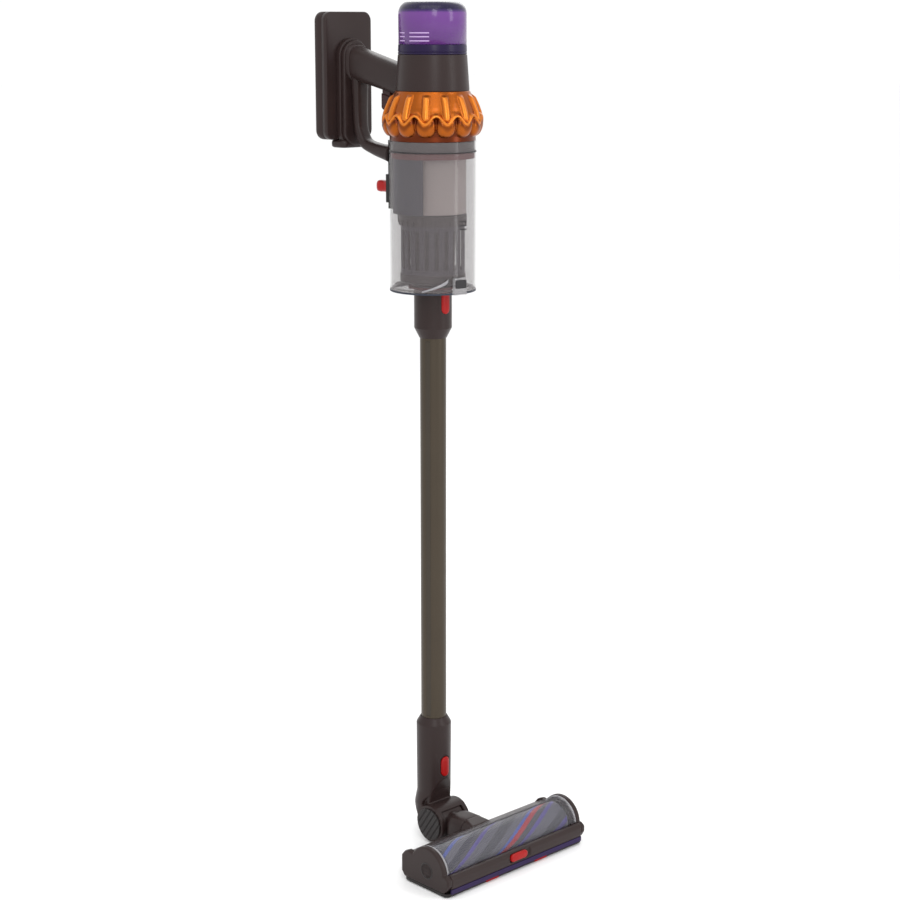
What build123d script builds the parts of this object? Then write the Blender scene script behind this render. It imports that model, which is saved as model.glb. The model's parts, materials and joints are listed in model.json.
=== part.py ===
"""Cordless stick vacuum: handheld unit, wand and powered floor head, one STEP file per piece.

Millimetres. +Z is up, the floor is z = 0, the floor head points to -Y and the handle and battery are at +Y.
Shapes are laid out about the wand's axis and moved by WAND_Y when they are written, so that the origin is
on the floor under the middle of the whole object.
"""

from build123d import *
import os
from math import cos, radians, sin

# Driving dimensions ---------------------------------------------------------------------------------------
WAND_Y = -11.65  # the wand's axis in the written frame
SLIP = 0.3  # air between curved faces that pass each other
PIN_SLIP = 0.05  # radial clearance of a pin or shaft in its bore

# heights of the handheld unit, from the top down
FILTER_TOP = 1161.0
FILTER_FOOT = 1107.0
HOUSING_TOP = 1094.0
PACK_TOP = 1047.0
PACK_FOOT = 983.0
BAND_FOOT = 969.0
SKIRT_TOP = 886.0
MESH_TOP = 872.0
MESH_FOOT = 808.0
BIN_FOOT = 787.0
DOOR_FOOT = 784.0

FILTER_R = 44.7
HOUSING_TOP_R = 45.5
HOUSING_FOOT_R = 48.6
PACK_R = 57.0  # circle of the small cyclones' lower ends
PACK_LOBE_R = 11.4
LOBES = 14
PACK_FOOT_R = 58.0
BIN_TOP_R = 58.2
BIN_FOOT_R = 57.4
BIN_WALL = 2.2
COLUMN_R = 39.0
MESH_R = 42.6
SKIRT_R = 45.2
DUCT_R = 19.5
POD_R = 30.2

# handle and battery
GRIP_TILT = 13.0  # degrees that the grip rises to the rear
GRIP_W, GRIP_H = 34.0, 41.0
GRIP_Y, GRIP_Z = 40.0, 1055.0  # a point on the grip's centre line
DOCK_Y = 153.0  # front face of the dock
BATTERY_Y0, BATTERY_Y1 = 168.5, 195.5
BATTERY_Z0, BATTERY_Z1 = 977.0, 1149.0
BATTERY_HALF_W = 41.0
DOCK_FOOT_Z = 966.0
RAIL_Y0, RAIL_Y1 = 64.0, 80.0
CELLS = 7
CELL_R = 10.5
CELL_PITCH = 22.5

# wand and neck
COLLAR_R = 25.5
COLLAR_TOP, COLLAR_FOOT, COLLAR_TIP = 790.0, 733.5, 720.0
WAND_R = 17.75
WAND_WALL = 1.5
SOCKET_TOP, SOCKET_SHOULDER, SOCKET_FOOT = 181.0, 171.0, 62.0
SOCKET_TOP_R, SOCKET_FOOT_R = 24.5, 23.8
ELBOW_Y, ELBOW_Z = -20.0, 29.0  # the pitch axis
ELBOW_R = 26.5
CHEEK_X0, CHEEK_X1 = 19.9, 27.0
BARREL_R = 24.4
BARREL_X = 19.5
NECK_START = -47.6

# floor head
SADDLE_LENGTH = 19.0
HEAD_HALF = 133.0
CAP_X = 125.5  # inner faces of the end caps
BRUSH_Y, BRUSH_Z = -129.0, 28.5
BRUSH_R = 26.5
CORE_R = 21.0
CHAMBER_R = 29.5
HOOD_R = 32.0
HOOD_WALL = 2.0
HEAD_REAR = -78.0
LIP_FRONT = -171.0
LIP_TOP, LIP_FOOT = 31.5, 12.5
SOLE_Z0, SOLE_Z1 = 2.0, 6.0
WHEEL_R, WHEEL_Y, WHEEL_X = 9.0, -87.5, 98.0
ROLLER_R, ROLLER_Y, ROLLER_X = 5.0, -154.0, 88.0
GATE_X = 47.0


# Basic shapes ---------------------------------------------------------------------------------------------
def block(x0, x1, y0, y1, z0, z1):
    """A box between two opposite corners."""
    return Pos((x0 + x1) / 2, (y0 + y1) / 2, (z0 + z1) / 2) * Box(x1 - x0, y1 - y0, z1 - z0)


def soft_block(x0, x1, y0, y1, z0, z1, radius):
    """A box with every edge rounded."""
    solid = block(x0, x1, y0, y1, z0, z1)
    return fillet(solid.edges(), radius)


def post(radius, z0, z1, x=0.0, y=0.0):
    """An upright cylinder."""
    return Pos(x, y, (z0 + z1) / 2) * Cylinder(radius, z1 - z0)


def ring(outer, inner, z0, z1, x=0.0, y=0.0):
    """An upright tube."""
    return post(outer, z0, z1, x, y) - post(inner, z0 - 1, z1 + 1, x, y)


def rod_x(radius, x0, x1, y, z):
    """A cylinder along X."""
    return Pos((x0 + x1) / 2, y, z) * Rot(0, 90, 0) * Cylinder(radius, x1 - x0)


def rod_y(radius, y0, y1, x, z):
    """A cylinder along Y."""
    return Pos(x, (y0 + y1) / 2, z) * Rot(90, 0, 0) * Cylinder(radius, y1 - y0)


def turned(points):
    """A solid of revolution about the wand's axis, from (radius, height) points."""
    return revolve(make_face(Plane.XZ * Polyline(*points, close=True)), Axis.Z)


def side_plate(points, x0, x1):
    """A plate with an outline of (y, z) points, between two planes across X."""
    outline = make_face(Plane.YZ.offset(x0) * Polyline(*points, close=True))
    return extrude(outline, x1 - x0, dir=(1, 0, 0))


def around(shape, count, start=0.0):
    """Copies of a shape, evenly spaced about the wand's axis."""
    return [Rot(0, 0, start + 360 * i / count) * shape for i in range(count)]


def circles_at(shape, radius, height):
    """The circular edges of a turned solid with that radius and height."""
    found = shape.edges().filter_by(GeomType.CIRCLE)
    return [e for e in found if abs(e.radius - radius) < 0.05 and abs(e.center().Z - height) < 0.05]


def edges_along(shape, axis):
    """The straight edges of a shape that run along an axis."""
    return shape.edges().filter_by(axis)


def together(*shapes):
    """One node of several separate solids."""
    return Compound([solid for shape in shapes for solid in shape.solids()])


def mirrored(shape):
    """A shape and its mirror image across the middle plane."""
    return [shape, mirror(shape, about=Plane.YZ)]


# Exhaust end: filter and display --------------------------------------------------------------------------
def filter_unit():
    wall, hole = 2.0, 31.0
    cap = turned([
        (hole, FILTER_TOP), (FILTER_R, FILTER_TOP), (FILTER_R, FILTER_FOOT),
        (FILTER_R - wall, FILTER_FOOT), (FILTER_R - wall, FILTER_TOP - wall), (hole, FILTER_TOP - wall),
    ])
    cap = fillet(circles_at(cap, FILTER_R, FILTER_TOP), 11.8)
    cap = fillet(circles_at(cap, FILTER_R - wall, FILTER_TOP - wall), 9.6)
    pleats = 40
    points = []
    for i in range(2 * pleats):
        radius = 40.6 if i % 2 else 36.0
        angle = radians(180 * i / pleats)
        points.append((radius * cos(angle), radius * sin(angle)))
    star = make_face(Plane.XY.offset(FILTER_FOOT + 3.5) * Polyline(*points, close=True))
    element = extrude(star, 44.0, dir=(0, 0, 1)) - post(33.4, FILTER_FOOT, FILTER_TOP)
    base = ring(HOUSING_TOP_R - 0.3, 41.0, HOUSING_TOP + SLIP, FILTER_FOOT)
    base += ring(42.4, POD_R + 0.4, FILTER_FOOT - 1.0, FILTER_FOOT + 3.5)
    return {"filter_cap": cap, "filter_element": element, "filter_base_ring": base}


def display():
    top = FILTER_TOP - 5.0
    screen_y, screen_r, button_y, button_r = -4.0, 18.9, 22.5, 4.0
    pod = ring(POD_R, POD_R - 2.0, HOUSING_TOP, top)
    pod += post(POD_R, top, top + 3.0)
    pod -= post(screen_r, top - 1, top + 4, 0, screen_y)
    pod -= post(button_r + 0.1, top - 1, top + 4, 0, button_y)
    screen = post(screen_r, top - 1.5, top + 2.2, 0, screen_y)
    button = post(button_r, top - 3.0, top + 4.0, 0, button_y)
    button = fillet(circles_at(button, button_r, top + 4.0), 0.8)
    board = post(POD_R - 3.0, top - 14.0, top - 12.4)
    for x, y in ((8, 6), (-10, 2), (2, -12)):
        board += block(x - 4, x + 4, y - 3, y + 3, top - 12.4, top - 10.6)
    return {"display_pod": pod, "display_screen": screen, "mode_button": button, "control_board": board}


# Motor ----------------------------------------------------------------------------------------------------
def motor():
    wall = 2.6
    housing = turned([
        (HOUSING_FOOT_R, PACK_TOP), (HOUSING_TOP_R, HOUSING_TOP), (20.0, HOUSING_TOP),
        (20.0, HOUSING_TOP - 3), (HOUSING_TOP_R - wall, HOUSING_TOP - 3), (HOUSING_FOOT_R - wall, PACK_TOP),
    ])
    for hole in around(post(2.2, HOUSING_TOP - 4, HOUSING_TOP + 1, 35.6), 24):
        housing -= hole
    can_foot, can_top, shaft_r, bearing_r = 1064.0, HOUSING_TOP - 3, 2.5, 6.2
    can = turned([
        (27, can_foot), (27, can_top), (bearing_r, can_top), (bearing_r, can_top - 2.5), (25, can_top - 2.5),
        (25, can_foot + 2.5), (bearing_r, can_foot + 2.5), (bearing_r, can_foot),
    ])
    stator = ring(24.9, 13.0, 1070, 1084)
    for slot in around(block(12, 22, -1.5, 1.5, 1069, 1085), 6):
        stator -= slot
    shaft = post(shaft_r, 1050, can_top + 0.5) + post(11.5, 1070, 1084)
    bearings = [ring(bearing_r, shaft_r + PIN_SLIP, z, z + 2.5) for z in (can_foot, can_top - 2.5)]
    impeller = ring(22, shaft_r, 1050, 1052) + ring(7, shaft_r, 1051, 1062)
    for blade in around(Pos(14, 0, 1055.5) * Rot(0, 0, 25) * Box(15.5, 1.2, 8.0), 9):
        impeller += blade
    return {"motor_housing": housing, "motor_can_and_bearings": together(can, *bearings),
            "motor_stator": stator, "motor_shaft": shaft, "impeller": impeller}


# Separation: cyclones, shroud and inlet -------------------------------------------------------------------
def cyclone_pack():
    outer = turned([(49.2, PACK_TOP), (52.0, 1035), (57.5, 1020), (60.5, 1006), (60.0, 994),
                    (PACK_FOOT_R, PACK_FOOT), (40.0, PACK_FOOT), (40.0, PACK_TOP)])
    top = Vector(49.0, 0, 1042.0)
    foot = Vector(PACK_R, 0, 1001.0)
    run = foot - top
    cone = Cone(5.0, PACK_LOBE_R, run.length)
    lobe = Location(Plane(origin=(top + foot) * 0.5, z_dir=run)) * cone
    lobe += Pos(PACK_R, 0, foot.Z) * Sphere(PACK_LOBE_R)
    for cyclone in around(lobe, LOBES, 180 / LOBES):
        outer += cyclone
    inner = turned([(0, PACK_TOP + 5), (45.5, PACK_TOP + 5), (45.8, PACK_TOP), (48.5, 1032), (53.5, 1016),
                    (55.5, 1000), (54.0, PACK_FOOT), (54.0, PACK_FOOT - 5), (0, PACK_FOOT - 5)])
    return {"cyclone_pack": outer - inner}


def separator():
    collar = ring(BIN_TOP_R - BIN_WALL - 0.6, 46.0, BAND_FOOT, PACK_FOOT)
    collar += ring(50.0, 30.0, PACK_FOOT - 4, PACK_FOOT)
    seal = ring(55.4, COLUMN_R + 0.1, BAND_FOOT - 4, BAND_FOOT) + ring(55.4, 53.4, BAND_FOOT - 9, BAND_FOOT - 4)
    window_low, window_high, window_w = 895.0, 925.0, 12.0
    window = block(-window_w - 0.3, window_w + 0.3, -50, -20, window_low - 0.3, window_high + 0.3)
    column = ring(COLUMN_R, COLUMN_R - 2.5, SKIRT_TOP, PACK_FOOT - 4) - window
    cone = turned([(36.0, 975), (34.5, 975), (26.6, 791), (28.1, 791)]) - window
    skirt = ring(SKIRT_R, 37.0, MESH_TOP, SKIRT_TOP)
    for notch in around(block(43.6, 47, -2.2, 2.2, MESH_TOP - 1, MESH_TOP + 7), 24):
        skirt -= notch
    mesh = ring(MESH_R, MESH_R - 1.4, MESH_FOOT, MESH_TOP)
    for slot in around(block(38, 46, -3.0, 3.0, MESH_FOOT + 6, MESH_TOP - 6), 20):
        mesh -= slot
    base = ring(43.8, 29.2, MESH_FOOT - 12, MESH_FOOT)
    base = fillet(circles_at(base, 43.8, MESH_FOOT - 12), 3.0)
    duct = ring(DUCT_R, DUCT_R - 2, COLLAR_TOP, 932) + post(DUCT_R, 930, 932)
    duct += block(-window_w, window_w, 1.0 - COLUMN_R, -10, window_low, window_high) - post(DUCT_R - 1, 890, 929)
    duct -= block(2 - window_w, window_w - 2, -60, -5, window_low + 2, window_high - 2)
    port_seal = ring(33.0, COLLAR_R + 0.05, BIN_FOOT + 0.7, COLLAR_TOP)
    return {"bin_collar": collar, "bin_seals": together(seal, port_seal), "cyclone_column": column,
            "inner_dust_cone": cone, "shroud_rings": together(skirt, base), "shroud_mesh": mesh,
            "inlet_duct": duct}


# Bin ------------------------------------------------------------------------------------------------------
HINGE_Y, HINGE_Z, KNUCKLE_R, HINGE_PIN_R = 61.0, 787.5, 3.0, 1.5
DOOR_HOLE_R = 31.0  # the wand's collar passes through the door
LATCH_TURN = -7.0  # the latch's place round the bin, from the front


def dust_bin():
    bin_top = PACK_FOOT - SLIP
    wall = turned([(BIN_FOOT_R, BIN_FOOT), (BIN_TOP_R, bin_top), (BIN_TOP_R - BIN_WALL, bin_top),
                   (BIN_FOOT_R - BIN_WALL, BIN_FOOT)])
    for x0, x1 in ((8.3, 12.5), (-12.5, -8.3)):
        ear = block(x0, x1, 54, HINGE_Y, BIN_FOOT, BIN_FOOT + 3.5)
        ear += rod_x(KNUCKLE_R, x0, x1, HINGE_Y, HINGE_Z)
        ear -= rod_x(HINGE_PIN_R + 0.01, -20, 20, HINGE_Y, HINGE_Z)
        wall += ear - post(BIN_FOOT_R - 1, 770, 800)
    runner = block(-6, 6, 50, 63.5, 870, 975) - post(BIN_TOP_R + 0.05, 860, 980)
    pin = rod_x(HINGE_PIN_R, -12.5, 12.5, HINGE_Y, HINGE_Z)
    door = ring(BIN_FOOT_R, DOOR_HOLE_R, DOOR_FOOT, BIN_FOOT - 0.1)
    door += block(-8, 8, 52, HINGE_Y, DOOR_FOOT + 0.5, BIN_FOOT - 0.1) - post(40, 770, 790)
    door += rod_x(KNUCKLE_R, -8, 8, HINGE_Y, HINGE_Z)
    door -= rod_x(HINGE_PIN_R + PIN_SLIP, -20, 20, HINGE_Y, HINGE_Z)
    door -= block(-9, 9, 40, HINGE_Y - KNUCKLE_R + 0.2, BIN_FOOT - 0.1, BIN_FOOT + 10)
    seal = ring(54.8, 51.0, BIN_FOOT - 0.1, BIN_FOOT + 2.4)
    latch = block(-10, 10, -63.0, -52, DOOR_FOOT, BIN_FOOT + 20)
    latch -= post(BIN_TOP_R + 0.4, 768, 822)
    latch -= block(-6, 6, -66, -61.2, BIN_FOOT + 7, BIN_FOOT + 16)
    latch = fillet(edges_along(latch, Axis.Y).group_by(Axis.Z)[-1], 3.0)
    button = block(-5.8, 5.8, -63.8, -61.2, BIN_FOOT + 7.2, BIN_FOOT + 15.8)
    aside = Rot(0, 0, LATCH_TURN)
    return {"clear_bin": wall, "bin_runner_and_pin": together(runner, pin),
            "bin_door": together(door, seal), "bin_latch": aside * together(latch, button)}


# Handle ---------------------------------------------------------------------------------------------------
def grip_bar(width, height, radius, y0, length):
    """A rounded bar along the grip's centre line, from y0."""
    rise = (y0 - GRIP_Y) * sin(radians(GRIP_TILT)) / cos(radians(GRIP_TILT))
    axis = (0, cos(radians(GRIP_TILT)), sin(radians(GRIP_TILT)))
    plane = Plane(origin=(0, y0, GRIP_Z + rise), x_dir=(1, 0, 0), z_dir=axis)
    return extrude(plane * RectangleRounded(width, height, radius), length, dir=axis)


def stadium(half_width, y0, y1, z0, z1):
    """An upright plate with half-round ends, facing along Y."""
    outline = Rot(0, 0, 90) * SlotOverall(z1 - z0, 2 * half_width)
    plane = Plane(origin=(0, y0, (z0 + z1) / 2), x_dir=(1, 0, 0), z_dir=(0, -1, 0))
    return extrude(plane * outline, y1 - y0, dir=(0, 1, 0))


def handle():
    grip = grip_bar(GRIP_W, GRIP_H, 15.0, GRIP_Y, 125.0)
    cavity = grip_bar(GRIP_W - 7, GRIP_H - 7, 11.5, 62.0, 85.0)
    housing = turned([(0, 1140), (42.6, 1140), (HOUSING_FOOT_R + 0.1, PACK_TOP), (0, PACK_TOP)])
    grip -= cavity
    grip -= housing
    grip -= post(59.5, 970, PACK_TOP + 0.5)
    grip -= block(-40, 40, DOCK_Y, 220, 990, 1190)
    grip -= block(-6.3, 6.3, 77.7, 94.3, 1028, 1055)
    trigger = side_plate([(76, 1019.6), (96, 1019.6), (96, 1041.4), (76, 1036.8)], -8, 8)
    trigger = fillet(edges_along(trigger, Axis.X).group_by(Axis.Z)[0], 5.0)
    trigger += block(-6, 6, 78, 94, 1034.6, 1051.6)
    dock = stadium(24.5, 159, BATTERY_Y0, 966, 1114) + stadium(21.5, DOCK_Y, 159.5, 969, 1111)
    dock += soft_block(-23, 23, DOCK_Y + 2, 186, DOCK_FOOT_Z, BATTERY_Z0 + 2, 5.0)
    dock -= block(-60, 60, BATTERY_Y0, 200, BATTERY_Z0 - 0.2, BATTERY_Z1)
    dock -= post(2.8, DOCK_FOOT_Z - 1, DOCK_FOOT_Z + 8, 0, 177)
    guard_x = 11.0
    guard = side_plate([(DOCK_Y, 1059.8), (140, 1056.8), (139, 1002), (131, 986), (RAIL_Y1, 974),
                        (RAIL_Y1, 949), (120, 954), (146, 962), (DOCK_Y, 974)], -guard_x, guard_x)
    guard = fillet(edges_along(guard, Axis.X).filter_by_position(Axis.Z, 980, 1010), 9.0)
    rail = block(-8, 8, RAIL_Y0, RAIL_Y1, 888, 980)
    plate = block(-8, 8, RAIL_Y1, RAIL_Y1 + 5, 896, 934)
    lever = block(-6.5, 6.5, RAIL_Y1 + 5.2, RAIL_Y1 + 8, 904, 930)
    lever += soft_block(-7, 7, RAIL_Y1 + 6, 108, 910, 926, 3.0)
    return {"handle_grip": grip, "trigger": trigger, "handle_dock": dock, "handle_guard": guard,
            "bin_rail": rail + plate, "bin_release_lever": lever}


def battery():
    depth = BATTERY_Y1 - BATTERY_Y0
    height = BATTERY_Z1 - BATTERY_Z0
    middle_y, middle_z = (BATTERY_Y0 + BATTERY_Y1) / 2, (BATTERY_Z0 + BATTERY_Z1) / 2
    plane = Plane(origin=(0, BATTERY_Y0, middle_z), x_dir=(1, 0, 0), z_dir=(0, -1, 0))
    case = extrude(plane * RectangleRounded(2 * BATTERY_HALF_W, height, 12), depth, dir=(0, 1, 0))
    case = fillet(case.edges().group_by(Axis.Y)[-1], 5.0)
    case = fillet(case.edges().group_by(Axis.Y)[0], 1.5)
    wall, button_r, button_z = 2.2, 4.0, BATTERY_Z1 - 12
    case -= block(wall - BATTERY_HALF_W, BATTERY_HALF_W - wall, BATTERY_Y0 + wall, BATTERY_Y1 - wall,
                  BATTERY_Z0 + 3.5, BATTERY_Z1 - 3.5)
    case -= rod_y(button_r + 0.1, BATTERY_Y1 - 5, BATTERY_Y1 + 5, 0, button_z)
    button = rod_y(button_r, BATTERY_Y1 - 4.5, BATTERY_Y1 + 0.8, 0, button_z)
    stack = CELL_PITCH - 0.5
    cells = [rod_x(CELL_R, -35, 35, middle_y, middle_z - 5 + stack * (i - (CELLS - 1) / 2)) for i in range(CELLS)]
    return {"battery_case": case, "battery_cells": together(*cells), "battery_release_button": button}


# Wand and neck --------------------------------------------------------------------------------------------
CHANNEL_TURN = -67.0  # the wiring channel's place round the wand, from the front


def pill_button(half_width, z0, z1, outer_r, back_y):
    """A push button on the front of an upright tube: rounded ends, and a face that follows the tube."""
    height = z1 - z0
    outline = Rot(0, 0, 90) * SlotOverall(height, 2 * half_width)
    plane = Plane(origin=(0, back_y, (z0 + z1) / 2), x_dir=(1, 0, 0), z_dir=(0, -1, 0))
    return extrude(plane * outline, 20, dir=(0, -1, 0)) & post(outer_r, z0 - 1, z1 + 1)


def wand():
    bore = WAND_R + 0.1
    collar = turned([(COLLAR_R, COLLAR_TOP), (COLLAR_R, COLLAR_FOOT), (WAND_R + 0.9, COLLAR_TIP),
                     (bore, COLLAR_TIP), (bore, 780), (DUCT_R - 2, 780), (DUCT_R - 2, COLLAR_TOP)])
    collar -= pill_button(7.3, 753.7, 786.3, 40, -20.2)
    button = pill_button(7.0, 754, 786, COLLAR_R + 1.2, -22.4)
    tube = ring(WAND_R, WAND_R - WAND_WALL, 124, 779.9)
    turn = Rot(0, 0, CHANNEL_TURN)
    tube -= turn * block(-3.5, 3.5, -20, -16.9, SOCKET_TOP + 3, COLLAR_TIP - 3)
    strip = turn * block(-3.4, 3.4, -17.5, -16.95, SOCKET_TOP + 3.5, COLLAR_TIP - 3.5)
    return {"wand_collar": collar, "wand_release_button": button, "wand_tube": tube, "wand_channel": strip}


def neck():
    bore = WAND_R + 0.1
    socket = turned([(WAND_R + 0.9, SOCKET_TOP), (SOCKET_TOP_R, SOCKET_SHOULDER), (SOCKET_FOOT_R, SOCKET_FOOT),
                     (0, SOCKET_FOOT), (0, SOCKET_TOP)])
    web = [(-2, 45), (-4, 58), (-15, 70), (-16, 73), (23.5, 73), (22, 57), (4.5, 33), (ELBOW_Y, ELBOW_Z)]
    flare = turned([(0, 0), (CHEEK_X1 + 0.2, 0), (CHEEK_X1 + 0.2, 52), (SOCKET_FOOT_R, 70), (SOCKET_FOOT_R, 73),
                    (0, 73)])
    web_solid = side_plate(web, -CHEEK_X1, CHEEK_X1) & flare
    discs = rod_x(ELBOW_R, -CHEEK_X1, CHEEK_X1, ELBOW_Y, ELBOW_Z)
    socket -= side_plate([(-40, 93), (-24.6, 93), (-15, 70), (-4, 58), (-2, 40), (-40, 40)], -30, 30)
    socket += web_solid
    socket += discs
    throat = [(-12.4, 40), (-13.4, 58), (-16.2, 73), (-1, 73), (-1, 40)]
    socket += side_plate(throat, -CHEEK_X0 - 1, CHEEK_X0 + 1) & post(SOCKET_FOOT_R, 0, 90)
    socket -= block(-CHEEK_X0, CHEEK_X0, -60, -12, 0, 49)
    socket -= block(-CHEEK_X0, CHEEK_X0, -60, 30, 0, ELBOW_Z)
    socket -= rod_x(BARREL_R + 0.4, -CHEEK_X0, CHEEK_X0, ELBOW_Y, ELBOW_Z)
    socket -= post(bore, 122, 200)
    socket -= post(15.0, 84, 130)
    socket -= post(10.0, 30, 90)
    socket -= rod_x(5.0, -40, 40, ELBOW_Y, ELBOW_Z)
    socket -= pill_button(7.3, 94.7, 124.3, 40, -20.2)
    button = pill_button(7.0, 95, 124, SOCKET_FOOT_R + 1.6, -22.2)
    pin = rod_x(4.98, -CHEEK_X1, CHEEK_X1, ELBOW_Y, ELBOW_Z)
    nodes = {"neck_socket": socket, "neck_release_button": button, "elbow_pin": pin}
    disc = rod_x(ELBOW_R - 4, CHEEK_X1, CHEEK_X1 + 2.4, ELBOW_Y, ELBOW_Z)
    for i in range(5):
        lean = Pos(CHEEK_X1 + 2.4, ELBOW_Y, ELBOW_Z) * Rot(35, 0, 0) * Pos(0, 7.5 * (i - 2), 0)
        disc -= lean * Box(2.4, 2.6, 60)
    left, right = mirror(disc, about=Plane.YZ), disc
    nodes["elbow_discs"] = together(left, right)
    barrel = rod_x(BARREL_R, -BARREL_X, BARREL_X, ELBOW_Y, ELBOW_Z)
    barrel -= rod_x(BARREL_R - 3, 3 - BARREL_X, BARREL_X - 3, ELBOW_Y, ELBOW_Z)
    barrel -= block(-14, 14, ELBOW_Y - 13, ELBOW_Y + 13, ELBOW_Z + 5, 80)
    spigot = rod_y(17.0, -62, -38, 0, ELBOW_Z) + barrel
    spigot += rod_x(7.5, -BARREL_X, BARREL_X, ELBOW_Y, ELBOW_Z)
    spigot -= rod_y(13.5, -70, ELBOW_Y - 8, 0, ELBOW_Z)
    spigot -= rod_x(4.98 + PIN_SLIP, -40, 40, ELBOW_Y, ELBOW_Z)
    clip = rod_y(19.0, -66, -63.0, 0, ELBOW_Z) - rod_y(13.5, -70, -60, 0, ELBOW_Z)
    clip += rod_y(15.2, -63.0, -62.0, 0, ELBOW_Z) - rod_y(13.5, -70, -60, 0, ELBOW_Z)
    nodes["elbow_barrel"] = together(spigot, clip)
    return nodes


# Floor head -----------------------------------------------------------------------------------------------
def brush_point(angle, radius):
    """A point round the brush's axis as (y, z); 0 is straight ahead and 90 is up."""
    a = radians(angle)
    return (BRUSH_Y - radius * cos(a), BRUSH_Z + radius * sin(a))


def head_shell():
    duct_r = 17.35
    rear_top = brush_point(150, HOOD_R)
    housing = side_plate([rear_top, (-94, 42.5), (-86, 40), (HEAD_REAR, 36), (HEAD_REAR, 13), (-84, SOLE_Z1),
                          (-104, SOLE_Z1), brush_point(200, CHAMBER_R + 2), brush_point(170, CHAMBER_R + 1)],
                         -CAP_X, CAP_X)
    neck_plane = Plane(origin=(0, HEAD_REAR, ELBOW_Z), x_dir=(1, 0, 0), z_dir=(0, 1, 0))
    saddle = extrude(neck_plane * RectangleRounded(44, 41, 15), SADDLE_LENGTH, dir=(0, -1, 0))
    saddle &= side_plate([(HEAD_REAR, 50), (-97, 46.5), (-99, 30), (HEAD_REAR, 20)], -23, 23)
    housing += saddle
    housing -= rod_x(CHAMBER_R, -CAP_X - 1, CAP_X + 1, BRUSH_Y, BRUSH_Z)
    housing -= rod_y(13.5, -120, HEAD_REAR + 1, 0, ELBOW_Z)
    wells = block(WHEEL_X - 6, WHEEL_X + 6, WHEEL_Y - 10.5, HEAD_REAR + 2, 0, WHEEL_R + 10.5)
    axle = rod_x(2.0, WHEEL_X - 10, WHEEL_X + 10, WHEEL_Y, WHEEL_R)
    for well in mirrored(wells + axle):
        housing -= well
    duct = extrude(neck_plane * RectangleRounded(44, 41, 15), NECK_START - HEAD_REAR, dir=(0, 1, 0))
    duct -= rod_y(duct_r, -80, -40, 0, ELBOW_Z) - rod_y(duct_r, -80, -68, 0, ELBOW_Z)
    duct -= rod_y(13.5, -90, -60, 0, ELBOW_Z)
    duct -= rod_y(19.4, -67.0, -62.6, 0, ELBOW_Z)
    hood = rod_x(HOOD_R, -CAP_X, CAP_X, BRUSH_Y, BRUSH_Z) - rod_x(HOOD_R - HOOD_WALL, -130, 130, BRUSH_Y, BRUSH_Z)
    keep = side_plate([(BRUSH_Y, BRUSH_Z), brush_point(3, 80), brush_point(60, 80), brush_point(120, 80),
                       brush_point(150, 80)], -CAP_X, CAP_X)
    return {"head_housing": housing, "neck_duct": duct, "clear_hood": hood & keep}


def end_caps():
    outline = side_plate([brush_point(150, HOOD_R + 1), (-92, 46.5), (-84, 43), (HEAD_REAR, 36), (HEAD_REAR, 13),
                          (-84, SOLE_Z1), (-161, SOLE_Z1), (LIP_FRONT + 4, 12), (LIP_FRONT, 19),
                          (LIP_FRONT, 27), (LIP_FRONT + 6, LIP_TOP), (BRUSH_Y, BRUSH_Z)], CAP_X, HEAD_HALF)
    cap = outline + rod_x(HOOD_R + 1, CAP_X, HEAD_HALF, BRUSH_Y, BRUSH_Z) - block(0, 200, -300, 0, -20, SOLE_Z1)
    cap = fillet(cap.faces().sort_by(Axis.X)[-1].edges(), 2.5)
    right = cap - rod_x(8.1, 100, 140, BRUSH_Y, BRUSH_Z)
    release = rod_x(8.0, CAP_X + 2.5, HEAD_HALF, BRUSH_Y, BRUSH_Z)
    release = fillet(circle_ends_x(release, HEAD_HALF), 1.0)
    left = mirror(cap, about=Plane.YZ) + rod_x(4.0, -CAP_X - 1, -112, BRUSH_Y, BRUSH_Z)
    return {"end_cap_left": left, "end_cap_right": right, "brush_release_button": release}


def circle_ends_x(shape, x):
    """The circular edges of a rod along X, at one end."""
    return [e for e in shape.edges().filter_by(GeomType.CIRCLE) if abs(e.center().X - x) < 0.05]


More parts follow.
